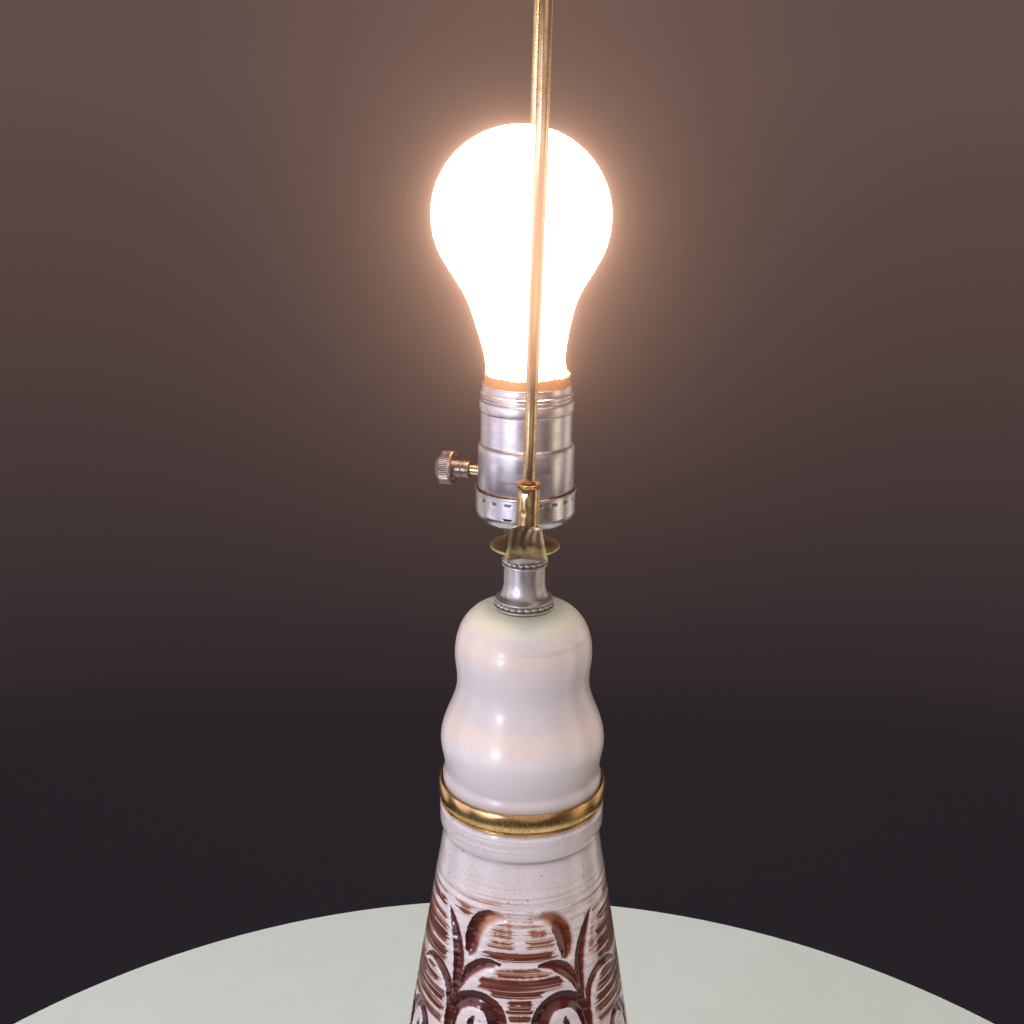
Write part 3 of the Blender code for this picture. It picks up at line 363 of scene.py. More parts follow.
# Lower body
pipe_hole_radius = 0.0055
foot_radius = 0.0858
foot_round = 0.0030
foot_width = 0.0080
recess_depth = 0.0260
crease_radius = 0.02944
collar_radius = 0.03096
collar_height = 0.0114
collar_roll = 0.0045
collar_top_inset = 0.0006
collar_top_round = 0.0008
crease_height = body_high - collar_height
outlet_height = 0.0150
outlet_hole_radius = 0.0071

# Its rows of points, which lie closest in the carved band, and how many points go round
body_columns = 396
outlet_first_row = 0.0012
outlet_reach = 0.0100
outlet_row = 0.0010
plain_row = 0.0090
band_low = 0.2305
coarse_band_row = 0.00105
fine_band_low = 0.2840
fine_band_row = 0.00062
band_high = 0.3345
upper_row = 0.0020
collar_row = 0.00024

# Throwing rings on the cone, each as depth in metres, radians per metre of height and start, and the finer
# lines rolled into the collar, which are deepest a little left of the front and opposite
throwing_rings = ((0.00006, 1500, 0), (0.00005, 2630, 1))
collar_line_height = 0.35912
collar_line_pitch = 0.0028
collar_line_depth = 0.00014
collar_line_rise_share = 0.15
collar_line_degrees = -20

# Carved ornament: it repeats about a mirror line at the front and at the back. Each form has its middle
# line in degrees from the mirror line and millimetres of height, its greatest half width in millimetres,
# where along it that is, its half widths at both ends as shares, how much darker its pooled glaze and
# painted shade are, and how far that thins towards its tip
mirror_degrees = 0.4
repeat_degrees = 180.0
ornament_radius = 0.0370
groove_depth = 0.0015
leaves = {
    "blade": ([(38.4, 294.0), (38.8, 304.0), (39.8, 311.0), (43.2, 318.0), (48.0, 323.5), (53.0, 327.4)],
              3.0, 0.42, 0.50, 0.0, 0.0, 0.0),
    "inner_leaf": ([(30.6, 315.2), (30.2, 318.5), (28.0, 323.5), (23.5, 327.6), (17.4, 329.6),
                    (11.0, 329.8)],
                   4.1, 0.30, 0.76, 0.32, -0.20, 0.95),
    "lower_leaf": ([(36.5, 298.5), (33.0, 304.5), (27.5, 308.6), (20.5, 311.0), (11.5, 311.4)],
                   2.8, 0.50, 0.50, 0.30, -0.10, 0.0),
    "volute": ([(40.2, 283.0), (37.6, 290.0), (32.0, 294.6), (23.8, 296.6), (16.6, 294.9), (12.6, 290.8),
                (11.8, 286.2), (14.4, 282.0), (19.6, 280.4), (24.6, 282.2), (26.6, 285.8), (25.6, 289.4)],
               3.7, 0.36, 0.70, 0.18, 0.30, 0.0),
    "outer_leaf": ([(41.4, 286.5), (43.6, 296.0), (49.0, 300.8), (57.0, 302.8), (65.5, 301.9),
                    (76.0, 297.6)],
                   2.3, 0.45, 0.60, 0.0, 0.10, 0.0),
    "stem": ([(40.6, 292.0), (41.6, 282.5), (38.5, 272.5), (29.0, 264.0), (15.0, 258.5), (3.0, 252.5)],
             2.2, 0.30, 0.80, 0.55, 0.10, 0.0),
    "side_stem": ([(80.0, 258.0), (83.0, 267.0), (85.0, 277.0), (88.5, 286.5)],
                  2.3, 0.30, 0.70, 0.0, 0.10, 0.0),
    "side_volute": ([(82.0, 262.0), (80.0, 270.5), (75.0, 277.0), (68.0, 279.2), (62.0, 276.6),
                     (60.0, 271.4), (63.0, 267.2), (67.4, 268.6), (68.0, 272.4)],
                    2.6, 0.40, 0.70, 0.18, 0.20, 0.0),
    "pendant_side": ([(2.0, 251.0), (9.0, 249.0), (15.0, 244.0), (17.5, 236.0)],
                     2.6, 0.50, 0.50, 0.0, 0.0, 0.0),
    "pendant": ([(0.0, 251.5), (0.0, 243.0), (0.0, 232.5)],
                2.9, 0.45, 0.50, 0.0, 0.0, 0.0),
}

# How a leaf is cut, in millimetres and shares: the steep wall is on the side that this direction gives,
# and the dark glaze there carries painted shade
leaf_steps = 14
leaf_reach = 9.0
least_half_width = 0.2
full_depth_half_width = 2.4
steep_side = (-0.86, 0.51)
deepest_share = 0.58
overhang_slope = 0.40
hand_drift = 0.45


def leaf_half_widths(count, widest, peak, start_share, end_share):
    """Half width along a leaf: from its start's share up to the widest place and down to its end's share."""
    along = np.linspace(0, 1, count)
    rise = start_share + (1 - start_share) * np.sin(clamp(along / peak) * math.pi / 2)
    fall = end_share + (1 - end_share) * np.cos(clamp((along - peak) / (1 - peak)) * math.pi / 2) ** 0.8
    return widest * np.where(along < peak, rise, fall)


def nearest_on(line, place):
    """For each place: the index of the line's nearest point, and the way from there, square to the line."""
    away = place[:, None, :] - line[None, :, :]
    nearest = np.hypot(away[..., 0], away[..., 1]).argmin(1)
    offset = away[np.arange(len(place)), nearest]
    tangent = directions(line)[nearest]
    along = (offset * tangent).sum(1) * ((nearest > 0) & (nearest < len(line) - 1))
    return nearest, offset - tangent * along[:, None]


def groove_at(offset, width, hand):
    """For places off a leaf's middle line: the distance inside its edge, the groove's depth from 0 to about
    1, and the place across it, from -1 on its gentle slope to 1 on its steep wall."""
    edge = width - np.hypot(offset[:, 0], offset[:, 1])
    width = np.maximum(width, least_half_width)
    side = np.clip((offset[:, 0] * steep_side[0] * hand + offset[:, 1] * steep_side[1]) / width, -1, 1)
    slope = np.where(side < deepest_share, (side + 1) / (1 + deepest_share), 1.0)
    depth = clamp(edge / width) ** 0.75 * (0.55 + 0.45 * slope)
    return edge, depth * np.clip(width / full_depth_half_width, 0.25, 1.15), side


def ornament(front_degrees, height):
    """For points by degrees from the front and metres of height: what groove_at gives for the leaf that they
    are farthest inside, with the place across it moved by how dark that leaf's glaze and painted shade are
    and how thin its glaze is."""
    swing = wrapped(front_degrees - mirror_degrees, repeat_degrees)
    hand = np.where(swing < 0, -1.0, 1.0)
    drift = hand_drift * np.sin(np.radians(front_degrees * 5 + height * 9000))
    across_mm = math.radians(1) * ornament_radius * 1000
    place = np.stack([(np.abs(swing) + drift) * across_mm, height * 1000 + drift * 0.6], -1)
    inside = np.full(height.shape, -leaf_reach)
    depth = np.zeros(height.shape)
    wall = np.zeros(height.shape)
    for points, widest, peak, start_share, end_share, darker, thins in leaves.values():
        line = smooth_line([(degrees * across_mm, up) for degrees, up in points], leaf_steps)
        near = ((place > line.min(0) - leaf_reach) & (place < line.max(0) + leaf_reach)).all(-1)
        nearest, offset = nearest_on(line, place[near])
        width = leaf_half_widths(len(line), widest, peak, start_share, end_share)[nearest]
        edge, groove, side = groove_at(offset, width, hand[near])
        tip = clamp(nearest / len(line) * 2 - 0.7)
        better = edge > inside[near]
        inside[near] = np.where(better, edge, inside[near])
        depth[near] = np.maximum(groove, depth[near])
        wall[near] = np.where(better, side + darker - thins * tip, wall[near])
    return inside, depth, wall


# Dry-brushed strokes round the carving, as seen in the photograph: height in millimetres, first and last
# degree from the front, half height in millimetres and how much colour the brush still held
strokes = [
    (334.6, -70, -10, 0.5, 0.25), (329.4, -46, -31, 2.4, 0.50), (331.6, 32, 74, 0.8, 0.25),
    (326.0, -9, -5, 9.0, 0.25), (330.0, 3, 11, 2.8, 0.22), (327.0, -20, 20, 0.6, 0.25),
    (323.6, -20, -2, 2.1, 0.45), (323.8, 3, 20, 1.8, 0.45), (319.5, -21, -2, 2.0, 0.60),
    (319.6, 3, 23, 2.1, 0.60), (314.8, -23, 23, 2.3, 0.75), (308.9, -16, 22, 2.3, 0.60),
    (304.2, -25, 27, 3.0, 1.00), (300.8, -18, 15, 1.7, 0.95), (298.0, -8, 9, 1.1, 0.75),
    (295.2, -8, 9, 2.2, 0.85), (291.6, -8, 9, 1.6, 0.75), (287.6, -8, 9, 1.9, 0.85),
    (283.6, -8, 10, 1.7, 0.75), (279.0, -12, 13, 2.3, 0.90), (274.4, -20, 21, 2.1, 0.80),
    (269.6, -24, 26, 2.6, 0.95), (264.6, -16, 18, 2.2, 0.75),
    (330.8, -112, -57, 0.8, 0.35), (327.2, -112, -55, 1.8, 0.55), (321.8, -112, -52, 1.5, 0.70),
    (318.4, -112, -50, 2.0, 0.85), (313.9, -112, -49, 2.9, 1.00), (307.6, -112, -48, 3.4, 1.00),
    (299.4, -112, -56, 1.2, 0.60), (296.0, -112, -52, 1.8, 0.90), (291.8, -112, -45, 2.7, 1.00),
    (287.2, -112, -44, 2.0, 0.90), (282.6, -112, -44, 2.2, 0.90),
    (325.6, 44, 112, 0.9, 0.40), (321.2, 57, 112, 2.1, 0.85), (316.2, 54, 112, 2.7, 1.00),
    (311.0, 53, 112, 2.7, 1.00), (305.9, 52, 112, 2.4, 0.95), (298.6, 52, 112, 2.0, 0.85),
    (294.6, 49, 112, 1.9, 0.85), (290.4, 47, 112, 1.8, 0.85), (286.4, 46, 112, 1.9, 0.85),
    (282.2, 46, 112, 2.0, 0.85), (316.0, 45, 54, 8.0, 0.25),
]
stroke_taper = 2.6
stroke_sag = 0.3
stroke_edge = 2.2


def brushwork(front_degrees, height):
    """Where the dry brush went over the glaze, from 0 to 1, and how much colour it still held there."""
    went = np.zeros(height.shape)
    held = np.zeros(height.shape)
    height_mm = height * 1000
    for middle, first, last, half, colour in strokes:
        ragged = 1.6 * np.sin(height_mm * 5.1 + middle) + 1.2 * np.sin(height_mm * 12.7)
        for turn in (0, 180):
            away = wrapped(front_degrees - turn - (first + last) / 2, 360)
            along = clamp(((last - first) / 2 + ragged - np.abs(away)) / stroke_taper)
            sag = stroke_sag * np.sin(np.radians(away * 3 + middle * 7))
            up = clamp(stroke_edge * (1.05 - np.abs(height_mm - middle - sag) / half))
            held = np.where(along * up > went, colour, held)
            went = np.maximum(went, along * up)
    return went, held


def cone_radius(height):
    """The cone's radius at a height."""
    share = (height - body_low) / (crease_height - body_low)
    return foot_radius + (crease_radius - foot_radius) * share


def lower_outline():
    """The lower body's outline as (radius, height), from its foot up the outside and down the inside. Also
    how many of its points are outside, and which lie beside the cord outlet, upwards, on each wall."""
    foot = body_low + foot_round
    outline = arc((cone_radius(foot) - foot_round, foot), foot_round, -90, 0, 6)
    outlet_heights = np.arange(foot + outlet_first_row, outlet_height + outlet_reach, outlet_row)
    outer_rows = list(range(len(outline), len(outline) + len(outlet_heights)))
    heights = [*outlet_heights, *np.arange(outlet_heights[-1] + plain_row, band_low, plain_row),
               *np.arange(band_low, fine_band_low, coarse_band_row),
               *np.arange(fine_band_low, band_high, fine_band_row),
               *np.arange(band_high, crease_height - 0.0004, upper_row)]
    outline += [(cone_radius(height), height) for height in heights]
    rolled = crease_height + collar_roll
    outline += arc((crease_radius, rolled), (collar_radius - crease_radius, collar_roll), -90, 0, 10)
    lip = (collar_radius - collar_top_inset - collar_top_round, body_high - collar_top_round)
    outline += straight(collar_radius, np.arange(rolled + collar_row, lip[1] - 0.0010, collar_row))
    outline += arc(lip, collar_top_round, 0, 90, 4)
    outside_count = len(outline)
    roof = body_low + recess_depth
    outline += [(pipe_hole_radius, body_high), (pipe_hole_radius, roof),
                (cone_radius(roof) - foot_width, roof)]
    inner_rows = list(range(len(outline), len(outline) + len(outlet_heights)))[::-1]
    outline += [(cone_radius(height) - foot_width, height) for height in [*outlet_heights[::-1], body_low]]
    return outline, outside_count, outer_rows, inner_rows


def outlet_placing():
    """Frame of the cord outlet: its Z points out of the back wall, square to the cone."""
    slope = math.atan2(foot_radius - crease_radius, crease_height - body_low)
    middle = Matrix.Translation((0, cone_radius(outlet_height), outlet_height))
    return middle @ Matrix.Rotation(slope - math.pi / 2, 4, "X")


def with_outlet_hole(vertices, faces, outer_rows, inner_rows):
    """The body's faces with a hole through the foot's wall: both walls opened and joined round the edge."""
    corners = np.array(faces)
    centres = placed(vertices, outlet_placing().inverted())[corners].mean(1)
    opened = (np.hypot(centres[:, 0], centres[:, 1]) < outlet_hole_radius) & (vertices[corners[:, 0], 1] > 0)
    opened = opened.reshape(-1, body_columns)
    gone = opened.copy()
    made = []
    for low, high, inner_low, inner_high in zip(outer_rows, outer_rows[1:], inner_rows, inner_rows[1:]):
        gone[inner_high] = opened[low]
        for column in np.flatnonzero(opened[low]):
            after = (column + 1) % body_columns
            borders = ((low, column, low, after, inner_low, inner_low, opened[low - 1, column]),
                       (high, column, high, after, inner_high, inner_high, opened[high, column]),
                       (low, column, high, column, inner_low, inner_high, opened[low, column - 1]),
                       (low, after, high, after, inner_low, inner_high, opened[low, after]))
            for row, start, other_row, end, inner_row, other_inner, open_beyond in borders:
                if not open_beyond:
                    made.append([row * body_columns + start, other_row * body_columns + end,
                                 other_inner * body_columns + end, inner_row * body_columns + start])
    return [face for face, cut in zip(faces, gone.ravel()) if not cut] + made


def ring_depths(front_degrees, height):
    """How deep the throwing rings on the cone and the rolled lines on the collar are."""
    rings = sum(depth * (1 - np.sin(height * rate + start)) for depth, rate, start in throwing_rings)
    phase = (height - collar_line_height) / collar_line_pitch % 1
    rise = collar_line_rise_share
    lines = collar_line_depth * np.where(phase < rise, phase / rise, (1 - phase) / (1 - rise))
    lines *= np.cos(np.radians(front_degrees - collar_line_degrees)) ** 6
    return np.where(height > crease_height + collar_roll - 0.001, lines, rings)


def make_lower_body():
    """The cone with its collar, its throwing rings and the carved ornament."""
    outline, outside_count, outer_rows, inner_rows = lower_outline()
    vertices, faces = turned_mesh(outline, body_columns)
    faces = with_outlet_hole(vertices, faces, outer_rows, inner_rows)
    height = vertices[:, 2]
    front = np.degrees(np.arctan2(vertices[:, 0], -vertices[:, 1]))
    inside, depth, wall = ornament(front, height)
    went, held = brushwork(front, height)
    outside = np.repeat(np.arange(len(outline)) < outside_count, body_columns)
    carving = (depth * outside).reshape(-1, body_columns)
    for axis in (0, 1):
        carving = (np.roll(carving, 1, axis) + 2 * carving + np.roll(carving, -1, axis)) / 4
    carving *= groove_depth
    ringed = outside & (height > body_low + foot_round)
    sunk = carving.ravel() + ring_depths(front, height) * ringed
    # The outline's heights, kept apart where they are level, for the slope that looks down
    levels = np.array(outline)[:, 1] + np.arange(len(outline)) * 1e-9
    under = clamp(-np.gradient(carving, levels, axis=0) / overhang_slope)
    values = {"carved": inside, "wall": wall, "brush": went, "ink": held, "under": under.ravel()}
    vertices = widened(vertices, 1 - sunk / around(vertices)[0])
    add_piece("carved_body", "root", "glazed_lower", "lower_body", (vertices, faces), values=values,
              sharp_degrees=60)


# Upper body: its foot, its bulges, its crown and the hollow inside
fine_columns = 160
upper_foot_radius = 0.0300
upper_stations = [(0.0300, 0.0082), (0.02925, 0.0122), (0.03075, 0.0234), (0.02455, 0.0472),
                  (0.02530, 0.0577)]
upper_crown_radius = 0.0130
upper_height = 0.0750
upper_roof = 0.0050
upper_inside = [(0.020, 0.050), (0.024, 0.020), (0.024, 0)]
upper_sway = 0.00012
upper_rings = 0.00001
upper_inset = 0.00016


def make_upper_body():
    """Two glazed bulges on a rolled foot."""
    outline = [(upper_foot_radius - 0.0012, 0), (upper_foot_radius - 0.0003, 0.0010)]
    for low, high in zip(upper_stations, upper_stations[1:]):
        outline += swell(low, high, 12)
    top_radius, top_height = upper_stations[-1]
    crown = (top_radius - upper_crown_radius, upper_height - top_height)
    outline += arc((upper_crown_radius, top_height), crown, 0, 90, 28)
    outline += [(pipe_hole_radius, upper_height), (pipe_hole_radius, upper_height - upper_roof),
                *upper_inside]
    outline = [(radius, height + upper_low) for radius, height in outline]

    def throwing(angle, radius, height):
        hand_made = upper_sway * np.sin(angle * 2 + height * 60) + upper_rings * np.sin(height * 1900)
        return (hand_made - upper_inset) * (radius > upper_inside[-1][0])

    add_piece("glazed_bulges", "root", "glazed_upper", "upper_body",
              turned_mesh(outline, fine_columns, relief=throwing))


# Ring: its plate, its lip and its half-round band
ring_hole_radius = 0.0120
ring_plate = 0.0012
ring_lip = (0.0310, 0.0014)
ring_lip_round = 0.0004
ring_groove_radius = 0.0306
ring_band_radius = 0.03145
ring_band_bore = 0.0303
ring_height = 0.0086


def make_ring():
    """The brass ring: plate, bright lip and half-round band."""
    lip_radius, lip_top = ring_lip
    lip = (lip_radius - ring_lip_round, ring_lip_round)
    crown = (ring_band_radius - ring_groove_radius, (ring_height - lip_top) / 2)
    outline = [(ring_hole_radius, 0), *arc(lip, ring_lip_round, -90, 90, 6),
               *arc((ring_groove_radius, (ring_height + lip_top) / 2), crown, -88, 90, 16),
               (ring_band_bore, ring_height), (ring_band_bore, ring_plate), (ring_hole_radius, ring_plate)]
    finish = metal("ring_brass", (0.92, 0.61, 0.26), (0.60, 0.36, 0.15), 0.21, wear_scale=38,
                   relief=0.000004)
    add_piece("rolled_ring", "root", "brass", "brass_ring", turned_mesh(outline, fine_columns), finish,
              lift(ring_low))


# Neck: from its foot and its first row of pearls over its waist to its head
neck_columns = 360
neck_bore = 0.0053
neck_foot_radius = 0.0105
neck_foot_row = np.linspace(0.0011, 0.0026, 9)
neck_foot_row_radius = 0.01005
neck_waist_radius = 0.00745
neck_head_row = np.linspace(0.0170, 0.0185, 9)
neck_head_row_radius = 0.00742
neck_head_radius = 0.0082
neck_height = 0.0213
neck_foot_bead_count = 24
neck_head_bead_count = 20
neck_bead_proud = 0.00075


def bead_row(count, row, angle, height):
    """Relief of a row of pearls between a row's first and last height."""
    across = (angle * count / math.tau) % 1 * 2 - 1
    up = (height - (row[0] + row[-1]) / 2) / ((row[-1] - row[0]) / 2)
    return neck_bead_proud * np.sqrt(np.clip(1 - 1.25 * across ** 2 - up ** 2, 0, None))


def make_neck():
    """The turned spacer with a row of pearls round its foot and round its head."""
    hollow = ((0.0096, 0.0104), (0.0096 - neck_waist_radius, 0.0062))
    outline = [(neck_bore, 0), (neck_foot_radius, 0), *arc((0.0104, 0.0005), 0.0005, -80, 80, 6),
               *straight(neck_foot_row_radius, neck_foot_row), *arc((0.0099, 0.0032), 0.0006, -70, 90, 6),
               (0.0098, 0.0040), *arc(*hollow, 270 - math.degrees(0.1), 180, 9),
               (neck_waist_radius, 0.0130), (neck_waist_radius, 0.0156),
               *arc((0.0076, 0.0163), 0.0006, -80, 80, 6),
               *straight(neck_head_row_radius, neck_head_row), (0.0074, 0.0188), (0.00755, 0.0194),
               (0.0079, 0.0201), (neck_head_radius, 0.0205), (neck_head_radius, neck_height),
               (neck_bore, neck_height)]

    def pearls(angle, radius, height):
        return (bead_row(neck_foot_bead_count, neck_foot_row, angle, height)
                + bead_row(neck_head_bead_count, neck_head_row, angle, height))

    vertices, faces = turned_mesh(outline, neck_columns, relief=pearls)
    turned = np.repeat(np.array(outline)[:, 0], neck_columns)
    raised = around(vertices)[0] - turned
    # Painted shade in the gaps between the pearls of each row
    bead_gap_shade = np.zeros(len(vertices))
    for row in (neck_foot_row, neck_head_row):
        in_row = (np.abs(vertices[:, 2] - row.mean()) < 0.0009) & (turned > 0.007)
        bead_gap_shade[in_row] = clamp(1 - raised[in_row] / neck_bead_proud * 2.5)
    add_piece("pearled_spacer", "root", "nickel", "neck_spacer", (vertices, faces), pearled_nickel(),
              lift(neck_low), {"bead_gap_shade": bead_gap_shade}, 60)


# Saddle: its dish, its two arms and their tongues
harp_turn = math.radians(0.8)
harp_lean = math.radians(1.0)
saddle_frame = lift(saddle_low) @ Matrix.Rotation(harp_turn, 4, "Z")
harp_frame = saddle_frame @ Matrix.Rotation(harp_lean, 4, "Y")
dish_flat_radius = 0.0095
dish_radius = 0.0125
dish_thickness = 0.0011
dish_rim_round = 0.0004
arm_rise = math.radians(18)
arm_bend = 0.0080
arm_thickness = 0.0009
arm_root_width = 0.0148
arm_shoulder_width = 0.0098
arm_shoulder = 0.0190
arm_taper_share = 0.62
arm_gather_shares = (0.30, 0.85)
arm_curl = 0.0012
arm_dents = 0.00035
tongue_width = 0.0050
tongue_length = 0.0088
arm_columns = 25

# Harp and the sleeves that lock its feet
harp_leg = 0.0300
harp_rod = 0.00205
harp_height = 0.2286
harp_straight = 0.0540
harp_bulge = (0.0555, 0.1500)
harp_pad = (0.0092, 0.0130, 0.0026)
harp_blade = (0.0016, 0.0044)
harp_swage = 0.0014
sleeve_length = 0.0140
sleeve_radius = 0.0039
sleeve_wall = 0.00045
sleeve_flare = 0.00035
sleeve_mouth = 0.00240
sleeve_lip_round = 0.0004
sleeve_dent_depth = 0.00028
sleeve_wave_depth = 0.00007


def arm_line():
    """Middle line of an arm as (out, up) points, and how many of them come before its tongue."""
    outer = harp_leg + fitting_gap + arm_thickness / 2
    run = outer - arm_bend + arm_bend * math.sin(arm_rise) - dish_flat_radius
    bend_height = run * math.tan(arm_rise) + arm_bend * math.cos(arm_rise)
    shoulder = arm_shoulder - dish_thickness
    line = [(dish_flat_radius + run * share, run * share * math.tan(arm_rise)) for share in np.arange(8) / 8]
    line += arc((outer - arm_bend, bend_height), arm_bend, math.degrees(arm_rise) - 90, 0, 12)
    line += straight(outer, np.linspace(bend_height, shoulder, 6)[1:])
    tongue = straight(outer, (shoulder + 0.0004, shoulder + 0.0011, arm_shoulder + tongue_length))
    return np.array(line + tongue), len(line)


def sheet_faces(rows, columns):
    """Faces of a sheet with a thickness: two grids of points, joined round their edges."""
    faces = []
    top = rows * columns
    for row in range(rows - 1):
        for step in range(columns - 1):
            here = row * columns + step
            for corner in (here, top + here):
                faces.append([corner, corner + 1, corner + columns + 1, corner + columns])
        for step in (0, columns - 1):
            here = row * columns + step
            faces.append([here, here + columns, top + here + columns, top + here])
    for end in (0, (rows - 1) * columns):
        for here in range(end, end + columns - 1):
            faces.append([here, here + 1, top + here + 1, top + here])
    return faces


def arm_mesh(side):
    """One pressed arm: it rises from the dish, bends up and is gathered into the tongue under the sleeve.
    Gives its vertices, its faces and how rubbed it is at each vertex."""
    line, before_tongue = arm_line()
    reach = np.concatenate([[0], np.cumsum(np.linalg.norm(np.diff(line, axis=0), axis=1))])
    share = clamp(reach / reach[before_tongue - 1])
    width = np.interp(share, (arm_taper_share, 1), (arm_root_width, arm_shoulder_width))
    curl = arm_curl * clamp(share * 3)
    gather = np.interp(share, arm_gather_shares, (0, 1))
    width[before_tongue:] = tongue_width
    curl[before_tongue:] = gather[before_tongue:] = 0
    across = np.linspace(-1, 1, arm_columns)
    share, width, curl, gather = (values[:, None] for values in (share, width, curl, gather))
    lean = across + 0.35 * np.sin(share * 9)
    folds = (0.6 * np.cos(lean * 6.5 + 0.6) + 0.4 * np.cos(lean * 13 - share * 7)) * (1 - across ** 2)
    sunk = curl * across ** 2 + arm_dents * gather * folds
    along = directions(line)
    sheets = []
    for offset in (-arm_thickness / 2, arm_thickness / 2):
        y = (line[:, :1] - along[:, 1:] * (offset - sunk)) * side
        z = line[:, 1:] + along[:, :1] * (offset - sunk)
        sheets.append(np.stack([across * width / 2, y, z], -1).reshape(-1, 3))
    rubbed = np.tile(clamp(np.abs(across) * 4 - 3), len(line) * 2)
    vertices = placed(np.concatenate(sheets), lift(dish_thickness / 2))
    return vertices, sheet_faces(len(line), arm_columns), rubbed


def make_saddle():
    """The harp saddle: a dish with a bright rim and an arm at each side."""
    rise = (dish_radius - dish_flat_radius) * math.tan(arm_rise)
    rim = (dish_radius - dish_rim_round, rise + dish_thickness / 2 + 0.0001)
    outline = [(neck_bore, 0), (dish_flat_radius, 0),
               *arc(rim, (dish_rim_round, dish_thickness / 2), -80, 90, 8),
               (dish_flat_radius, dish_thickness), (neck_bore, dish_thickness)]
    dish = turned_mesh(outline, 128)
    rim_rubbed = clamp((around(dish[0])[0] - dish_radius + 0.0011) / 0.0005)
    arms = [arm_mesh(side) for side in (-1, 1)]
    rubbed = np.concatenate([rim_rubbed] + [arm[2] for arm in arms])
    add_piece("pressed_saddle", "root", "brass", "harp_saddle", joined(dish, *[arm[:2] for arm in arms]),
              rubbed_brass(), saddle_frame, {"rubbed": rubbed}, 50)


def make_harp():
    """The bent rod: forged blades at its feet, a bow round the bulb and a flat pad on top."""
    blade_y = harp_leg - harp_rod + harp_blade[0] / 2 + fitting_gap
    blade_top = arm_shoulder + tongue_length + 0.0004
    rod_low = blade_top + harp_swage
    pad_half = harp_pad[0] / 2
    shoulder = pad_half + harp_swage
    crown = harp_height - harp_pad[2] / 2
    blade = (harp_blade[0] / 2, harp_blade[1] / 2, 0.5)
    rod = (harp_rod, harp_rod, 1.0)
    pad = (harp_pad[2] / 2, harp_pad[1] / 2, 0.35)

    def between(first, second, steps):
        first, second = np.array(first), np.array(second)
        shares = (1 - np.cos(np.linspace(0, math.pi, steps + 2)[1:-1])) / 2
        return [tuple(first + (second - first) * share) for share in shares]

    bow = [(harp_leg, rod_low), (harp_leg, harp_straight - 0.006),
           *swell((harp_leg, harp_straight), harp_bulge, 28),
           *arc((shoulder, harp_bulge[1]), (harp_bulge[0] - shoulder, crown - harp_bulge[1]), 0, 90, 32)]
    line = [(blade_y, arm_shoulder + 0.0008), (blade_y, blade_top),
            *between((blade_y, blade_top), (harp_leg, rod_low), 3), *bow,
            *between((shoulder, crown), (pad_half, crown), 4), (pad_half, crown), (0, crown)]
    sections = [blade] * 2 + between(blade, rod, 3) + [rod] * len(bow) + between(rod, pad, 4) + [pad] * 2
    line += [(-y, z) for y, z in line[-2::-1]]
    sections += sections[-2::-1]
    add_piece("bent_harp", "harp", "brass", "harp", swept_mesh(line, 20, sections), placing=harp_frame,
              sharp_degrees=50)


def make_ferrule(name, node, side, dent_degrees, finish):
    """A crimped sleeve over one leg's foot and the arm's tongue, with a flared lip."""
    inner = sleeve_radius - sleeve_wall
    low = arm_shoulder + fitting_gap
    high = low + sleeve_length
    lip = (sleeve_radius + sleeve_flare - sleeve_lip_round, high - sleeve_lip_round)
    outline = [(inner, low), *arc((sleeve_radius - 0.0002, low + 0.0002), 0.0002, -90, 0, 3),
               *straight(sleeve_radius, np.linspace(low + 0.0005, high - 0.0014, 34)),
               *arc(lip, sleeve_lip_round, -60, 110, 7),
               (sleeve_mouth, high - 0.0003), (sleeve_mouth, high - 0.0009), (inner, high - 0.0013)]

    def dents(angle, radius, height):
        across = wrapped(angle - math.radians(dent_degrees))
        up = height - low
        deep = dimple(across, up - 0.0112, 0.30, 0.0010)
        deep = deep + 0.8 * dimple(across + 0.12, up - 0.0045, 0.16, 0.0008)
        wavy = 0.5 + 0.5 * np.sin(angle * 3 + up * 900) * np.sin(up * 430 + 1)
        outside = (radius > sleeve_radius - 0.0001) * (up < sleeve_length - 0.0016)
        return -(sleeve_dent_depth * deep + sleeve_wave_depth * wavy) * outside

    add_piece(name, node, "brass", node, turned_mesh(outline, 72, relief=dents), finish,
              harp_frame @ Matrix.Translation((0, side * harp_leg, 0)), sharp_degrees=50)


# Stud on the harp's pad, and the finial that screws on it
flange_low = harp_height + fitting_gap
flange_high = flange_low + 0.0016
flange_radius = 0.0055
flange_round = 0.0003
rivet_radius = 0.0031
shank_radius = 0.0017
stud_length = 0.0095
stud_row = 0.00009925
stud_radius = 0.00288
stud_pitch = 0.00094
stud_thread_depth = 0.00012
finial_clear = 0.0024
finial_bore = 0.0049
finial_foot_radius = 0.0066
finial_neck_radius = 0.0053
finial_ball = 0.0074
finial_ball_height = 0.01789


def make_stud():
    """The stud riveted through the pad: its flange and its fine thread."""
    pad_low = harp_height - harp_pad[2] - fitting_gap
    rivet_low = pad_low - 0.0011
    edge = flange_radius - flange_round
    threads = np.arange(flange_high + 0.0002, flange_high + stud_length - 0.0002, stud_row)
    outline = [(0, rivet_low), (0.0026, rivet_low), (rivet_radius, pad_low - 0.0006),
               (rivet_radius, pad_low), (shank_radius, pad_low), (shank_radius, flange_low),
               *arc((edge, flange_low + flange_round), flange_round, -90, 0, 3),
               *arc((edge, flange_high - flange_round), flange_round, 0, 90, 3),
               *straight(stud_radius, threads), (0.0024, flange_high + stud_length),
               (0, flange_high + stud_length)]

    def screw(angle, radius, height):
        turn = height / stud_pitch * math.tau - angle
        return stud_thread_depth * np.cos(turn) * (np.abs(radius - stud_radius) < exact)

    add_piece("screw_stud", "harp", "brass", "harp_stud",
              turned_mesh(outline, 48, closed=False, relief=screw), placing=harp_frame)


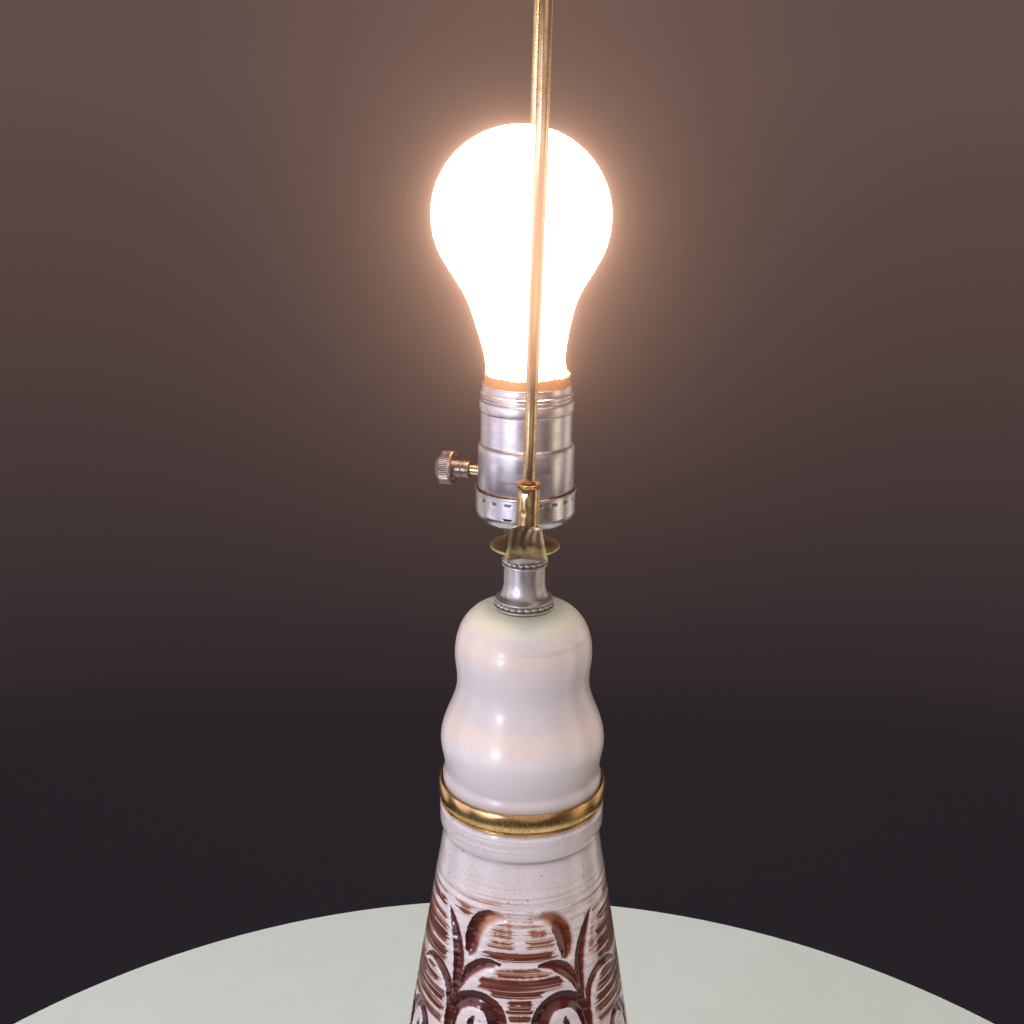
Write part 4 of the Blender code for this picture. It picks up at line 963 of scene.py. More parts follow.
def make_finial():
    """The turned ball finial, hollow above its thread."""
    low = flange_high + finial_clear
    edge = finial_foot_radius - 0.0004
    outline = [(finial_bore, low), *arc((edge, low + 0.0004), 0.0004, -90, 0, 4),
               *arc((edge, low + 0.0014), 0.0004, 0, 90, 4),
               *arc((0.0057, low + 0.0024), (0.0005, 0.0006), -80, 90, 6),
               (0.0054, low + 0.0034), (finial_neck_radius, low + 0.0080),
               *arc((0, low + finial_ball_height), finial_ball, -46, 90, 30),
               (0, low + 0.0103), (finial_bore, low + 0.0103)]
    add_piece("ball_finial", "finial", "brass", "finial", turned_mesh(outline, 72), placing=harp_frame)


# Socket cap: its hub, its bowl and its band, with pressed marks and key slits
cap_hub_bore = 0.0052
cap_hub_radius = 0.0072
cap_hub_height = 0.0086
cap_floor = (0.0118, 0.0096)
cap_corner = 0.0144
cap_band_radius = 0.0176
cap_rim = (0.0179, 0.0221)
cap_wall = 0.00035
cap_step = (0.0160, 0.0170)
cap_columns = 480
cap_fine_row = 0.0001
cap_mark_rows = (0.0190, 0.0204)
cap_mark_count = 20
cap_mark_first = math.radians(270 + 16)
cap_mark_height = 0.0197
cap_mark_half = (0.0011, 0.00048)
cap_mark_depth = 0.00030
cap_slit_angles = (math.radians(270 - 20.5), math.radians(90 - 20.5))
cap_slit_half = (0.0014, 0.00028)
cap_slit_depth = 0.0009


def cap_dents(angle, height):
    """Pressed marks round the cap's band and two key slits at its corner, each from 0 to 1."""
    away = wrapped(angle - cap_mark_first, math.tau / cap_mark_count)
    marks = box_dent(away * cap_band_radius, height - cap_mark_height, *cap_mark_half)
    up = height - cap_corner - 0.0002
    slits = sum(box_dent(wrapped(angle - slit) * cap_band_radius, up, *cap_slit_half)
                for slit in cap_slit_angles)
    return marks, slits


def make_cap():
    """The socket cap: hub, bowl and band with pressed marks, key slits and a rolled rim."""
    rim_radius, rim_top = cap_rim
    inner = cap_band_radius - cap_wall
    bowl = (cap_band_radius - cap_floor[0], cap_corner - cap_floor[1])
    band = [*np.arange(cap_corner - 0.0004, cap_corner + 0.0010, cap_fine_row),
            *np.arange(cap_corner + 0.0012, cap_mark_rows[0], 0.0006),
            *np.arange(*cap_mark_rows, cap_fine_row), rim_top - 0.0009]
    outline = [(cap_hub_bore, 0), (cap_hub_radius - 0.0003, 0), (cap_hub_radius, 0.0003),
               (cap_hub_radius, cap_hub_height - 0.0003), (cap_hub_radius + 0.0004, cap_hub_height + 0.0001),
               *arc((cap_floor[0], cap_corner), bowl, -90, -6, 16), *straight(cap_band_radius, band),
               *arc((rim_radius - 0.0004, rim_top - 0.0005), (0.0004, 0.0005), -80, 130, 10),
               (inner, rim_top - 0.0006), (inner, cap_step[1] + 0.0004), cap_step, (cap_step[0], cap_corner),
               (cap_floor[0], cap_floor[1] + 0.0004), (cap_hub_bore, 0.0090)]
    vertices, faces = turned_mesh(outline, cap_columns)
    radius, angle = around(vertices)
    outside = radius > cap_band_radius - 0.0002
    marks, slits = (dent * outside for dent in cap_dents(angle, vertices[:, 2]))
    vertices = widened(vertices, 1 - (marks * cap_mark_depth + slits * cap_slit_depth) / cap_band_radius)
    # pressed carries the marks at half strength and the key slits in full, for the painted shade in them
    add_piece("marked_cap", "root", "aluminium", "socket_cap", (vertices, faces), pressed_aluminium(),
              lift(cap_low), {"pressed": np.maximum(marks * 0.5, slits)}, 50)


# Socket shell: its barrel, its bead and the shallow thread rolled under its rim
shell_barrel_radius = 0.0169
shell_barrel_bore = 0.0165
shell_radius = 0.01594
shell_bore = 0.0155
shell_bead = (0.00048, 0.0021)
shell_bead_height = 0.0342
shell_ridge_radius = 0.01572
shell_ridge_rows = (0.0366, 0.0392)
shell_ridge_row = 0.00012
shell_ridge_pitch = 0.0012
shell_ridge_fade = 0.0004
shell_ridge_proud = 0.00042
shell_rim_radius = 0.01545
shell_rim_bore = 0.01505
shell_rim = 0.0413


def make_shell():
    """The aluminium shell: barrel, step, bead and a shallow rolled thread under its rim."""
    low, high = shell_ridge_rows
    outline = [(shell_barrel_radius - 0.0003, 0), (shell_barrel_radius, 0.0004),
               (shell_barrel_radius, 0.0184), *arc((0.0160, 0.0186), (0.0009, 0.0022), 0, 68, 12),
               *arc((0.0165, 0.0214), (0.00056, 0.0006), 248, 180, 6),
               (shell_radius, 0.0217), (shell_radius, 0.0316),
               *arc((shell_radius, shell_bead_height), shell_bead, -90, 90, 14),
               *straight(shell_ridge_radius, np.arange(low, high, shell_ridge_row)),
               (shell_rim_radius, 0.0395), (shell_rim_radius, shell_rim),
               *arc((0.01530, 0.0415), (0.00018, 0.0002), -30, 120, 5), (shell_rim_bore, shell_rim),
               (shell_rim_bore, 0.0390), (shell_bore, 0.0321), (shell_bore, 0.0207),
               (shell_barrel_bore, 0.0190), (shell_barrel_bore, 0)]

    def thread(angle, radius, height):
        turn = (height - low) / shell_ridge_pitch * math.tau - angle
        fade = clamp((height - low) / shell_ridge_fade) * clamp((high - height) / shell_ridge_fade)
        on_ridges = np.abs(radius - shell_ridge_radius) < exact
        return shell_ridge_proud * clamp(np.cos(turn)) ** 1.2 * fade * on_ridges

    add_piece("rolled_shell", "root", "aluminium", "socket_shell", turned_mesh(outline, 240, relief=thread),
              placing=lift(shell_low), sharp_degrees=50)


# Paper liner that stands proud of the shell, and how deep its edge is torn and swollen
liner_outer = 0.01475
liner_inner = 0.01440
liner_tear = 0.0012
liner_swell = 0.0006


def make_liner():
    """The cardboard sleeve, torn and swollen along its top."""
    shown = shell_high - liner_low
    top = liner_high - liner_low
    heights = [*np.linspace(0, shown, 8), *np.linspace(shown + 0.0003, top - 0.0002, 12)]
    outline = [*straight(liner_outer, heights), (liner_outer - 0.0001, top), (liner_inner, top - 0.0001),
               *straight(liner_inner, reversed(heights))]
    vertices, faces = turned_mesh(outline, 240)
    angle = around(vertices)[1]
    tear = 0.5 + 0.5 * np.sin(angle * 3 + 0.7) * np.sin(angle * 7 + 1.9)
    tear = 0.6 * tear + 0.25 * np.sin(angle * 19 + 4) ** 2 + 0.15 * np.sin(angle * 43 + 1) ** 2
    above = clamp((vertices[:, 2] - shown) / (top - shown))
    vertices[:, 2] += above * (liner_swell - above ** 0.5 * tear * liner_tear)
    swollen = above * (0.00010 * np.sin(angle * 11) + 0.00022 * np.sin(angle * 5 + 2)) / liner_outer
    add_piece("torn_liner", "root", "cardboard", "cardboard_liner", (widened(vertices, 1 + swollen), faces),
              placing=lift(liner_low), sharp_degrees=50)


# Switch: its height over the shell's foot, where it points, and the places of its knob and shaft along
# its axis
switch_height = 0.0092
switch_degrees = 165
switch_frame = (lift(shell_low + switch_height) @ Matrix.Rotation(math.radians(switch_degrees), 4, "Z")
                @ Matrix.Rotation(math.pi / 2, 4, "Y"))
knob_bore = 0.0022
knob_low = 0.0204
knob_neck_radius = 0.00315
knob_drum = (0.0060, 0.0264, 0.0052)
knob_bore_end = 0.0295
knob_teeth = 50
knob_tooth_depth = 0.00018
shaft_radius = 0.0019
shaft_ends = (0.0082, 0.0292)


def make_knob():
    """The turn knob: a grooved neck, a dished back and a straight-knurled drum with a domed face."""
    drum, back, length = knob_drum
    front = back + length
    outline = [(knob_bore, knob_low), *arc((0.0029, 0.02065), 0.00025, -90, 0, 4),
               (knob_neck_radius, 0.0230), *arc((knob_neck_radius, 0.0234), 0.00035, 270, 90, 8),
               (knob_neck_radius, 0.0238), (knob_neck_radius, 0.0268),
               *arc((0.0043, 0.0268), (0.00115, 0.0006), 180, 90, 6),
               (0.0050, back + 0.0006), (drum - 0.0007, back + 0.0001), (drum - 0.0005, back),
               *straight(drum, np.linspace(back + 0.0003, front - 0.0004, 6)),
               *arc((drum - 0.0012, front - 0.0001), (0.0007, 0.0005), 20, 90, 4),
               (0.0030, front + 0.0007), (0.0012, front + 0.0009), (0, front + 0.0009),
               (0, knob_bore_end), (knob_bore, knob_bore_end)]

    def knurl(angle, radius, height):
        tooth = np.abs(np.sin(angle * knob_teeth / 2))
        return -knob_tooth_depth * (1 - tooth) * (radius > drum - 0.0001)

    add_piece("knurled_knob", "switch", "bronzed_nickel", "switch_knob",
              turned_mesh(outline, knob_teeth * 6, relief=knurl), placing=switch_frame, sharp_degrees=55)


def make_shaft():
    """The switch's shaft with its chamfered end."""
    low, high = shaft_ends
    outline = [(0, low), (shaft_radius, low), (shaft_radius, high - 0.0002), (shaft_radius - 0.0002, high),
               (0, high)]
    add_piece("turned_shaft", "switch", "brass", "switch_shaft", turned_mesh(outline, 40, closed=False),
              placing=switch_frame)


# Bulb: the part in its base, the stations of its flank, its ball and its lean
bulb_insert = (0.0114, 0.0070)
bulb_stations = [(0.01380, 0.0022), (0.01410, 0.0100), (0.0184, 0.0265)]
bulb_centre = 0.0548
bulb_radius = 0.0300
bulb_height = 0.0840
bulb_wall = 0.0009
bulb_lean = 0.0029
bulb_lean_height = 0.022


def make_bulb():
    """The lit envelope, which leans a little to the left over its base."""
    ball = arc((0, bulb_centre), bulb_radius, -34, 0, 3)
    flank = smooth_line([*bulb_stations, *ball], 8)
    crown = arc((0, bulb_centre), (bulb_radius, bulb_height - bulb_centre), 0, 90, 30)[1:]
    outside = [(bulb_insert[0], -bulb_insert[1]), (bulb_insert[0], 0), *flank, *crown]
    inside = [(max(0.0, radius - bulb_wall), min(height, bulb_height - bulb_wall))
              for radius, height in outside]
    vertices, faces = turned_mesh(outside + inside[::-1], 128)
    vertices[:, 0] -= bulb_lean * (1 - np.exp(-np.maximum(vertices[:, 2], 0) / bulb_lean_height))
    add_piece("frosted_envelope", "bulb", "frosted_glass", "bulb_glass", (vertices, faces),
              placing=lift(glass_low + bulb_insert[1]))


# Cord outlet, with heights along its own axis: its bush, and the ring that holds it
outlet_bore = 0.0043
outlet_barrel = 0.0061
outlet_flange = 0.0086
outlet_flange_low = -0.0006
outlet_flange_top = 0.0022
outlet_mouth_round = 0.0009
outlet_nut_low = -0.0111
outlet_nut_thickness = 0.0022
outlet_nut_radius = 0.0084
outlet_nut_teeth = 40
outlet_nut_tooth_depth = 0.0002


def make_outlet_bush():
    """The moulded bush through the foot's back, with a rounded mouth."""
    low, mouth = outlet_nut_low, outlet_mouth_round
    outline = [(outlet_bore, low), (outlet_barrel - 0.0002, low), (outlet_barrel, low + 0.0002),
               (outlet_barrel, outlet_flange_low), (outlet_flange - 0.0003, outlet_flange_low),
               *arc((outlet_flange - 0.0005, 0.0008), 0.0005, 0, 60, 5),
               *arc((outlet_bore + mouth, outlet_flange_top - mouth), mouth, 90, 180, 8)]
    add_piece("moulded_bush", "root", "bakelite", "cord_outlet_bush", turned_mesh(outline, 72),
              placing=outlet_placing(), sharp_degrees=50)


def make_outlet_ring():
    """The knurled ring that holds the bush from the recess."""
    low, high = outlet_nut_low, outlet_nut_low + outlet_nut_thickness
    bore, edge = outlet_barrel + fitting_gap, outlet_nut_radius - 0.0003
    outline = [(bore, low), (edge, low), (outlet_nut_radius, low + 0.0003),
               (outlet_nut_radius, high - 0.0003), (edge, high), (bore, high)]

    def knurl(angle, radius, height):
        tooth = np.cos(angle * outlet_nut_teeth) ** 2
        return -outlet_nut_tooth_depth * tooth * (radius > outlet_nut_radius - 0.0001)

    add_piece("knurled_ring", "root", "brass", "cord_outlet_ring",
              turned_mesh(outline, outlet_nut_teeth * 6, relief=knurl), placing=outlet_placing(),
              sharp_degrees=50)


felt_radius = 0.0835


def make_felt():
    """The felt under the foot."""
    top = body_low - fitting_gap
    outline = [(0, 0), (felt_radius - 0.0005, 0), (felt_radius, 0.0004), (felt_radius, top - 0.0003),
               (felt_radius - 0.0003, top), (0, top)]
    add_piece("felt_disc", "root", "felt", "felt_pad", turned_mesh(outline, 224, closed=False))


def lay_wash(glaze, height, cloud, lines):
    """Lay over the white glaze a warm wash that gathers in the throwing lines and in the crease under the
    collar, and iron specks that are thicker in clouds."""
    wash = lines.ramp(0.50, 0.62) * height.ramp(0.349, 0.334) * height.ramp(0.318, 0.330, 0.35, 1.0)
    wash *= glaze.noise(45, stretch=(1, 1, 1.5), detail=1).ramp(0.42, 0.60)
    glaze.cover((0.46, 0.26, 0.16), wash * 0.48)
    crease = abs(height - (crease_height + 0.0003)).ramp(0.0013, 0.0002) * cloud.ramp(0.25, 0.55)
    glaze.cover((0.40, 0.21, 0.10), crease * 0.75)
    clouds = glaze.noise(38, detail=2).ramp(0.28, 0.52)
    glaze.cover((0.36, 0.22, 0.15), glaze.cells(1050).ramp(0.31, 0.15) * clouds * 0.60)
    glaze.cover((0.30, 0.13, 0.05), glaze.cells(260).ramp(0.13, 0.07) * clouds * 0.80)


def lay_brushwork(glaze, height):
    """Lay rust-brown dry brush over the glaze: strokes from the mesh in the carved band, rows of noise on
    the rest of the cone. Gives how much of it there is."""
    rows = glaze.noise(215, stretch=(0.05, 0.05, 1), detail=1)
    patches = glaze.noise(22, stretch=(1, 1, 1.6), detail=1)
    below = height.ramp(band_low + 0.032, band_low + 0.018)
    free = rows.ramp(0.44, 0.54) * patches.ramp(0.34, 0.55, 0.35, 1.0) * below
    went = glaze.attribute("brush").calculate("MAXIMUM", free) * glaze.attribute("carved").ramp(0.0, -0.9)
    held = glaze.attribute("ink").calculate("MAXIMUM", patches.ramp(0.3, 0.6) * below)
    # Paint lies where the bristles' marks rise over a bar, which falls as the brush holds more
    hairs = glaze.noise(1350, stretch=(0.022, 0.022, 1), detail=4, roughness=0.66)
    breaks = glaze.noise(520, stretch=(1, 1, 0.8), detail=3, roughness=0.6)
    bristle = hairs * 0.72 + breaks * 0.28
    bar = went * (held * 0.62 + 0.38) * -0.36 + 0.66
    reached = went.ramp(0.02, 0.30)
    bare = glaze.noise(1900, stretch=(0.010, 0.010, 1), detail=2)
    paint = bristle.ramp(bar, bar + 0.07) * reached * bare.ramp(0.57, 0.64, 1.0, 0.15)
    # Thin paint is orange and thick paint nearly black
    bands = glaze.noise(620, stretch=(0.03, 0.03, 1), detail=3)
    thick = held * bands.ramp(0.36, 0.60, 0.62, 1.22)
    rust = glaze.mix(thick.ramp(0.12, 0.50), (0.42, 0.15, 0.065), (0.18, 0.037, 0.011))
    rust = glaze.mix(thick.ramp(0.48, 0.90), rust, (0.085, 0.014, 0.005))
    glaze.cover((0.50, 0.25, 0.15), bristle.ramp(bar - 0.13, bar + 0.02, 0.0, 0.62) * reached)
    glaze.cover(rust, paint * 0.96)
    return paint


# Dark glaze, partly pooled glaze and partly painted shade, by its place across the groove: from where to
# where each colour comes in over the one before
lit_thin_pool = (0.46, 0.20, 0.10)
pool_and_shade_colours = [
    (-1.15, -0.60, (0.230, 0.062, 0.026)), (-0.70, -0.35, (0.135, 0.028, 0.014)),
    (-0.45, 0.05, (0.082, 0.014, 0.012)), (0.20, 0.60, (0.046, 0.008, 0.009)),
]


def lay_pools_and_shade(glaze, grain):
    """Lay dark glaze in the carving, thin and brown on the gentle slope and nearly black under the steep
    wall: partly pooled glaze and partly painted shade on the wall turned from the lights. Gives where it is."""
    wall = glaze.attribute("wall")
    inside = glaze.attribute("carved") + (grain * 0.9 - 0.45)
    pool = inside.ramp(-0.22, wall.ramp(-0.10, -0.80, 0.12, 2.2))
    # The dark glaze darkens towards the steep wall: partly pooled glaze and partly painted shade
    steep = wall + (glaze.noise(240, detail=3) * 0.9 - 0.45)
    dark = lit_thin_pool
    for start, end, colour in pool_and_shade_colours:
        dark = glaze.mix(steep.ramp(start, end), dark, colour)
    glaze.cover(dark, pool)
    return pool


def carved_glaze():
    """White glaze, rust-brown dry-brushed strokes and dark glossy glaze pooled in the carving, with painted
    shade on its steep walls.
    """
    glaze = Finish("carved_glaze", Specular_IOR_Level=0.20, Coat_Roughness=0.15)
    height = glaze.height()
    cloud = glaze.noise(60, detail=3)
    lines = glaze.noise(1500, stretch=(0.012, 0.012, 1), detail=2)
    grain = glaze.noise(700, detail=2)
    glaze.paint(glaze.mix(cloud, (0.67, 0.60, 0.595), (0.82, 0.755, 0.77)))
    lay_wash(glaze, height, cloud, lines)
    paint = lay_brushwork(glaze, height)
    pool = lay_pools_and_shade(glaze, grain)
    # The paint and the wall that looks down are duller than the rest
    paint_seen = paint * pool.ramp(0.0, 1.0, 1.0, 0.0)
    shade = glaze.attribute("under").ramp(0.05, 0.6)
    glaze.drive("Coat Weight", shade.ramp(0.0, 1.0, 0.8, 0.0) * paint_seen.ramp(0.0, 1.0, 1.0, 0.1))
    dry = paint * 0.45 + cloud * 0.35
    glaze.drive("Roughness", (dry - pool).ramp(0.0, 1.0, 0.15, 0.42))
    fine = glaze.noise(500, detail=2)
    glaze.bump(lines * 0.35 - paint * 0.4 + fine * 0.5 + grain * pool * 1.2, 0.00010, 0.8)
    return glaze


# The upper glaze over the foot: its first hollow and the way up to the next, where painted light makes it
# whiter than on the bulges, its two bands of painted warm bulb light, its greenish crown and its warm foot
lit_hollow_height = 0.0220
lit_hollow_pitch = 0.031
bulb_light_heights = (0.0630, 0.0330)
green_heights = (0.067, 0.0745)
warm_heights = (0.013, 0.0065)


def white_glaze():
    """Glossy off-white glaze with fine specks, warmer over the ring and greener at the crown, with painted
    shade on its bulges, painted light in its hollows and two bands of painted warm bulb light.
    """
    glaze = Finish("white_glaze", Coat_Weight=0.3, Coat_Roughness=0.14)
    height = glaze.height() - upper_low
    cloud = glaze.noise(45, detail=3)
    # Painted light and shade: darker on the bulges and whiter in the hollows
    wave = ((height - lit_hollow_height) * (math.tau / lit_hollow_pitch)).calculate("COSINE")
    shaded_bulges = glaze.mix(cloud, (0.60, 0.54, 0.54), (0.69, 0.625, 0.635))
    lit_hollows = glaze.mix(cloud, (0.78, 0.71, 0.715), (0.87, 0.80, 0.81))
    glaze.paint(glaze.mix(wave * 0.5 + 0.5, shaded_bulges, lit_hollows))
    glaze.cover((0.60, 0.62, 0.46), height.ramp(*green_heights) * 0.70)
    # Painted warm bulb light in two patchy bands round the upper body
    patchy = cloud.ramp(0.25, 0.60, 0.2, 0.55)
    for middle in bulb_light_heights:
        glaze.cover((0.80, 0.63, 0.54), abs(height - middle).ramp(0.0065, 0.0010) * patchy)
    specks = glaze.cells(700).ramp(0.19, 0.09) * glaze.noise(120, detail=1).ramp(0.50, 0.62)
    glaze.cover((0.34, 0.20, 0.11), specks * 0.55)
    glaze.cover((0.66, 0.50, 0.40), height.ramp(*warm_heights) * 0.25)
    glaze.drive("Roughness", cloud.ramp(0.2, 0.8, 0.28, 0.34))
    glaze.bump(glaze.noise(350, detail=2), 0.00001, 0.7)
    return glaze


def metal(name, bright, dull, roughness, streak=(1, 1, 1), wear_scale=120, relief=0.00003):
    """A metal whose colour and gloss vary between bright and dull patches."""
    made = Finish(name, Metallic=1.0)
    patches = made.noise(wear_scale, detail=4, roughness=0.6)
    fine = made.noise(900, stretch=streak, detail=2)
    share = (fine * 0.35 + patches * 0.75).ramp(0.40, 0.72)
    made.paint(made.mix(share, bright, dull))
    made.drive("Roughness", share.ramp(0.0, 1.0, roughness, roughness * 1.5))
    made.bump(fine, relief, 0.5)
    return made


def turned_nickel(name, bright, dull, roughness):
    """Nickel with fine streaks round it."""
    return metal(name, bright, dull, roughness, streak=(0.1, 0.1, 1), relief=0.000008)


def pressed_aluminium():
    """The cap's aluminium, with painted shade in its pressed marks and a painted near-black shadow in its
    key slits.
    """
    made = metal("cap_metal", (0.80, 0.79, 0.81), (0.62, 0.60, 0.61), 0.27)
    pressed = made.attribute("pressed")
    # Painted shade in the pressed marks, and a painted near-black shadow in the key slits
    made.cover((0.22, 0.19, 0.19), pressed.ramp(0.2, 0.5))
    made.cover((0.03, 0.025, 0.025), pressed.ramp(0.55, 0.9))
    return made


def pearled_nickel():
    """The neck's nickel, with painted shade between its pearls."""
    made = turned_nickel("neck_nickel", (0.72, 0.70, 0.67), (0.60, 0.57, 0.55), 0.33)
    # Painted shade between the pearls
    made.cover((0.29, 0.26, 0.235), made.attribute("bead_gap_shade"))
    return made


def crimped_brass():
    """The sleeves' brass, copper-red along the flared lip."""
    made = metal("sleeve_brass", (0.68, 0.50, 0.24), (0.40, 0.24, 0.12), 0.24, wear_scale=110,
                 relief=0.00001)
    top = saddle_low + arm_shoulder + sleeve_length
    made.cover((0.56, 0.25, 0.12), made.height().ramp(top - 0.0016, top - 0.0008) * 0.85)
    return made


def rubbed_brass():
    """The saddle's old brass: brown in patches and rubbed bright along its edges."""
    made = metal("old_brass", (0.42, 0.30, 0.14), (0.15, 0.090, 0.062), 0.30, relief=0.00001)
    made.cover((0.78, 0.66, 0.34), made.attribute("rubbed"))
    return made


def turned_aluminium():
    """The shell's aluminium, finely streaked, with a brown stain where it leaves the cap."""
    made = metal("aluminium", (0.80, 0.78, 0.82), (0.66, 0.62, 0.65), 0.31, streak=(0.05, 0.05, 1),
                 relief=0.00001)
    edge = cap_low + cap_rim[1]
    made.cover((0.46, 0.20, 0.10), made.height().ramp(edge + 0.0009, edge + 0.0003) * 0.8)
    return made


def plain(name, colour, other, roughness, scale=300, relief=0.00005):
    """A dull material with two close tones and a fine grain."""
    made = Finish(name, Roughness=roughness)
    grain = made.noise(scale, detail=3)
    made.paint(made.mix(grain, colour, other))
    made.bump(grain, relief, 0.7)
    return made


def lit_glass():
    """Frosted bulb glass with the lamp on, redder and dimmer at its foot."""
    made = Finish("lit_frosted_glass", Roughness=0.45, Base_Color=(0.95, 0.92, 0.86, 1))
    glow = made.height().ramp(glass_low + 0.010, glass_low + 0.030, 0.75, 1.0)
    made.drive("Emission Color", made.mix(glow, (1.0, 0.56, 0.28), (1.0, 0.66, 0.41)))
    made.drive("Emission Strength", glow * 24.0)
    return made


def wavy_glass():
    """The clear glass inside the bulb, faintly wavy."""
    made = Finish("clear_glass", Transmission_Weight=0.9, IOR=1.5)
    waves = made.noise(180, detail=2)
    made.paint(made.mix(waves, (0.94, 0.96, 0.95), (0.99, 0.99, 0.98)))
    made.drive("Roughness", waves.ramp(0.3, 0.7, 0.03, 0.08))
    return made


def aimed(place, azimuth, elevation, roll=0):
    """Frame of what looks along its own -Z from an azimuth, 0 in front of the lamp, and an elevation, in
    degrees."""
    made = Matrix.Translation(place)
    for degrees, axis in ((azimuth, "Z"), (90 - elevation, "X"), (roll, "Z")):
        made = made @ Matrix.Rotation(math.radians(degrees), 4, axis)
    return made


def make_camera():
    """The photograph's view: its place, tilt, roll and field."""
    lens = bpy.data.cameras.new("camera")
    lens.sensor_width = sensor_width
    lens.lens = sensor_width * focal_pixels / frame_pixels
    lens.clip_start = 0.01
    holder = bpy.data.objects.new("camera", lens)
    holder.matrix_world = aimed(camera_place, -camera_yaw, camera_pitch, camera_roll)
    scene.collection.objects.link(holder)
    scene.camera = holder


# Lights, which look at light_target: azimuth, positive to the right, elevation, distance, size, power,
# colour, and whether shiny surfaces mirror them
light_target = (0, 0, 0.42)
lights = {
    "key": (-36, 2, 1.3, (0.22, 0.22), 3.9, (0.78, 0.80, 1.0), True),
    "window_left": (-46, 4, 1.6, (1.1, 1.4), 5.8, (0.85, 0.84, 1.0), True),
    "wall_left": (-84, 0, 1.5, (0.9, 1.5), 3.9, (0.90, 0.86, 1.0), True),
    "wall_back_left": (-126, -6, 1.5, (0.8, 1.4), 1.8, (1.0, 0.90, 0.88), True),
    "wall_front": (14, 14, 2.2, (2.6, 2.8), 7.3, (1.0, 0.90, 0.91), True),
    "wall_right": (82, -8, 1.5, (0.6, 1.4), 2.2, (1.0, 0.86, 0.68), True),
    "wall_back_right": (124, -6, 1.5, (0.8, 1.4), 1.8, (1.0, 0.88, 0.80), True),
    "ceiling": (0, 80, 2.2, (3.0, 3.0), 13, (1.0, 0.95, 0.92), True),
    "overhead": (-15, 74, 1.4, (1.3, 1.1), 18, (1.0, 0.98, 0.96), False),
}


def add_light(name, azimuth, elevation, distance, size, power, colour, mirrored):
    """A soft light that the camera itself doesn't see."""
    light = bpy.data.lights.new(name, "AREA")
    light.shape = "ELLIPSE"
    light.size, light.size_y = size
    light.energy = power
    light.color = colour
    holder = bpy.data.objects.new(name, light)
    holder.matrix_world = aimed(light_target, azimuth, elevation) @ lift(distance)
    holder.visible_camera = False
    holder.visible_glossy = mirrored
    scene.collection.objects.link(holder)


# Dark surroundings: their colour low and high, and between which rises of a look it changes
surround_low = (0.020, 0.016, 0.020, 1)
surround_high = (0.110, 0.068, 0.062, 1)
surround_rise = (-0.44, 0.02)


def make_surroundings():
    """Dark surroundings: nearly black towards the table, a warm grey above."""
    world = bpy.data.worlds.new("surroundings")
    world.use_nodes = True
    tree = world.node_tree
    direction = tree.nodes.new("ShaderNodeTexCoord").outputs["Generated"]
    parts = tree.nodes.new("ShaderNodeSeparateXYZ")
    rise = tree.nodes.new("ShaderNodeMapRange")
    rise.inputs["From Min"].default_value, rise.inputs["From Max"].default_value = surround_rise
    shade = tree.nodes.new("ShaderNodeMix")
    shade.data_type = "RGBA"
    shade.inputs[6].default_value = surround_low
    shade.inputs[7].default_value = surround_high
    tree.links.new(direction, parts.inputs[0])
    tree.links.new(parts.outputs["Z"], rise.inputs["Value"])
    tree.links.new(rise.outputs["Result"], shade.inputs["Factor"])
    tree.links.new(shade.outputs[2], tree.nodes["Background"].inputs["Color"])
    scene.world = world


table_radius = 0.47


def make_table():
    """A plain pale round table."""
    shape = bmesh.new()
    bmesh.ops.create_circle(shape, cap_ends=True, segments=160, radius=table_radius)
    mesh = bpy.data.meshes.new("table")
    shape.to_mesh(mesh)
    shape.free()
    table = bpy.data.objects.new("table", mesh)
    scene.collection.objects.link(table)
    made = Finish("pale_table", Roughness=0.6)
    made.paint(made.mix(made.noise(40, detail=3), (0.66, 0.74, 0.70), (0.71, 0.79, 0.745)))
    mesh.materials.append(made.material)


bloom = {"Threshold": 3.0, "Strength": 0.14, "Size": 0.85, "Tint": (1.0, 0.82, 0.82, 1)}


def add_bloom():
    """The soft glow that a lens gives round the lit bulb."""
    scene.use_nodes = True
    tree = scene.node_tree
    tree.nodes.clear()
    layers = tree.nodes.new("CompositorNodeRLayers")
    glare = tree.nodes.new("CompositorNodeGlare")
    glare.glare_type = "BLOOM"
    glare.quality = "HIGH"
    for socket, value in bloom.items():
        glare.inputs[socket].default_value = value
    output = tree.nodes.new("CompositorNodeComposite")
    tree.links.new(layers.outputs["Image"], glare.inputs["Image"])
    tree.links.new(glare.outputs["Image"], output.inputs["Image"])


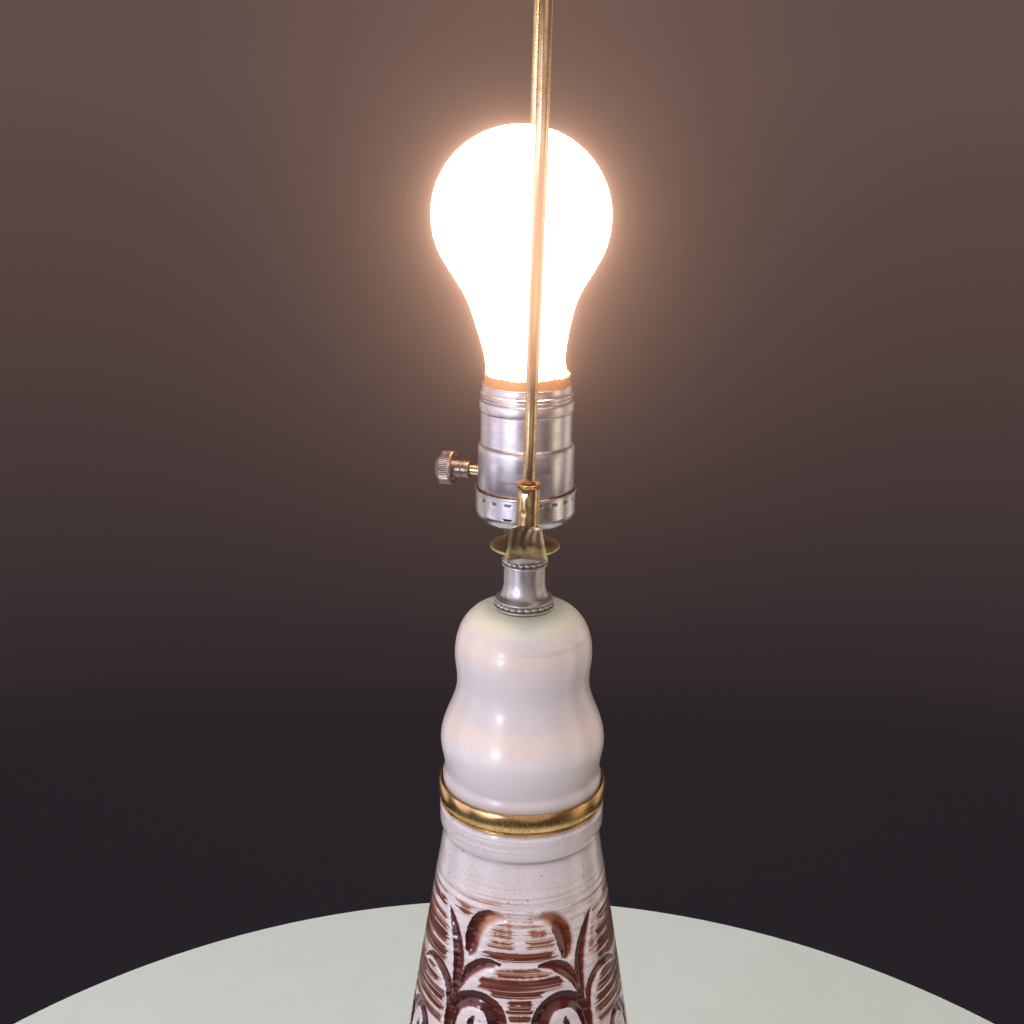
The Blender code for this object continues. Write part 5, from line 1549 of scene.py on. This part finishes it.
make_camera()
make_table()
make_surroundings()
for name, settings in lights.items():
    add_light(name, *settings)
add_bloom()
scene.view_settings.view_transform = "Standard"

slot_finishes = {
    "felt": plain("felt", (0.030, 0.075, 0.040), (0.055, 0.12, 0.065), 0.95, 1500, 0.0003),
    "glazed_lower": carved_glaze(),
    "glazed_upper": white_glaze(),
    "brass": metal("polished_brass", (0.86, 0.64, 0.35), (0.54, 0.36, 0.19), 0.23, wear_scale=90,
                   relief=0.00001),
    "nickel": turned_nickel("nickel", (0.70, 0.68, 0.65), (0.58, 0.55, 0.53), 0.36),
    "bronzed_nickel": metal("bronzed_nickel", (0.36, 0.28, 0.25), (0.20, 0.14, 0.12), 0.30, wear_scale=60,
                            relief=0.00001),
    "steel": metal("steel", (0.52, 0.52, 0.52), (0.32, 0.31, 0.30), 0.35),
    "aluminium": turned_aluminium(),
    "cardboard": plain("cardboard", (0.46, 0.18, 0.065), (0.68, 0.34, 0.15), 0.85, 900, 0.0002),
    "phenolic": plain("phenolic", (0.025, 0.020, 0.018), (0.045, 0.035, 0.030), 0.45),
    "bakelite": plain("bakelite", (0.060, 0.032, 0.020), (0.095, 0.055, 0.035), 0.35),
    "solder": metal("solder", (0.66, 0.66, 0.64), (0.45, 0.45, 0.44), 0.35),
    "frosted_glass": lit_glass(),
    "clear_glass": wavy_glass(),
    "tungsten": metal("tungsten", (0.30, 0.30, 0.32), (0.20, 0.20, 0.21), 0.35),
}
for part in frame["record"]["subparts"]:
    mesh = nodes[part["node"]].data
    mesh.materials.clear()
    mesh.materials.append(slot_finishes[part["material_slot"]].material)

make_lower_body()
make_upper_body()
make_ring()
make_neck()
make_saddle()
make_harp()
sleeve_brass = crimped_brass()
make_ferrule("crimped_sleeve_front", "ferrule_front", -1, 250, sleeve_brass)
make_ferrule("crimped_sleeve_back", "ferrule_back", 1, 75, sleeve_brass)
make_stud()
make_finial()
make_cap()
make_shell()
make_liner()
make_knob()
make_shaft()
make_bulb()
make_felt()
make_outlet_bush()
make_outlet_ring()
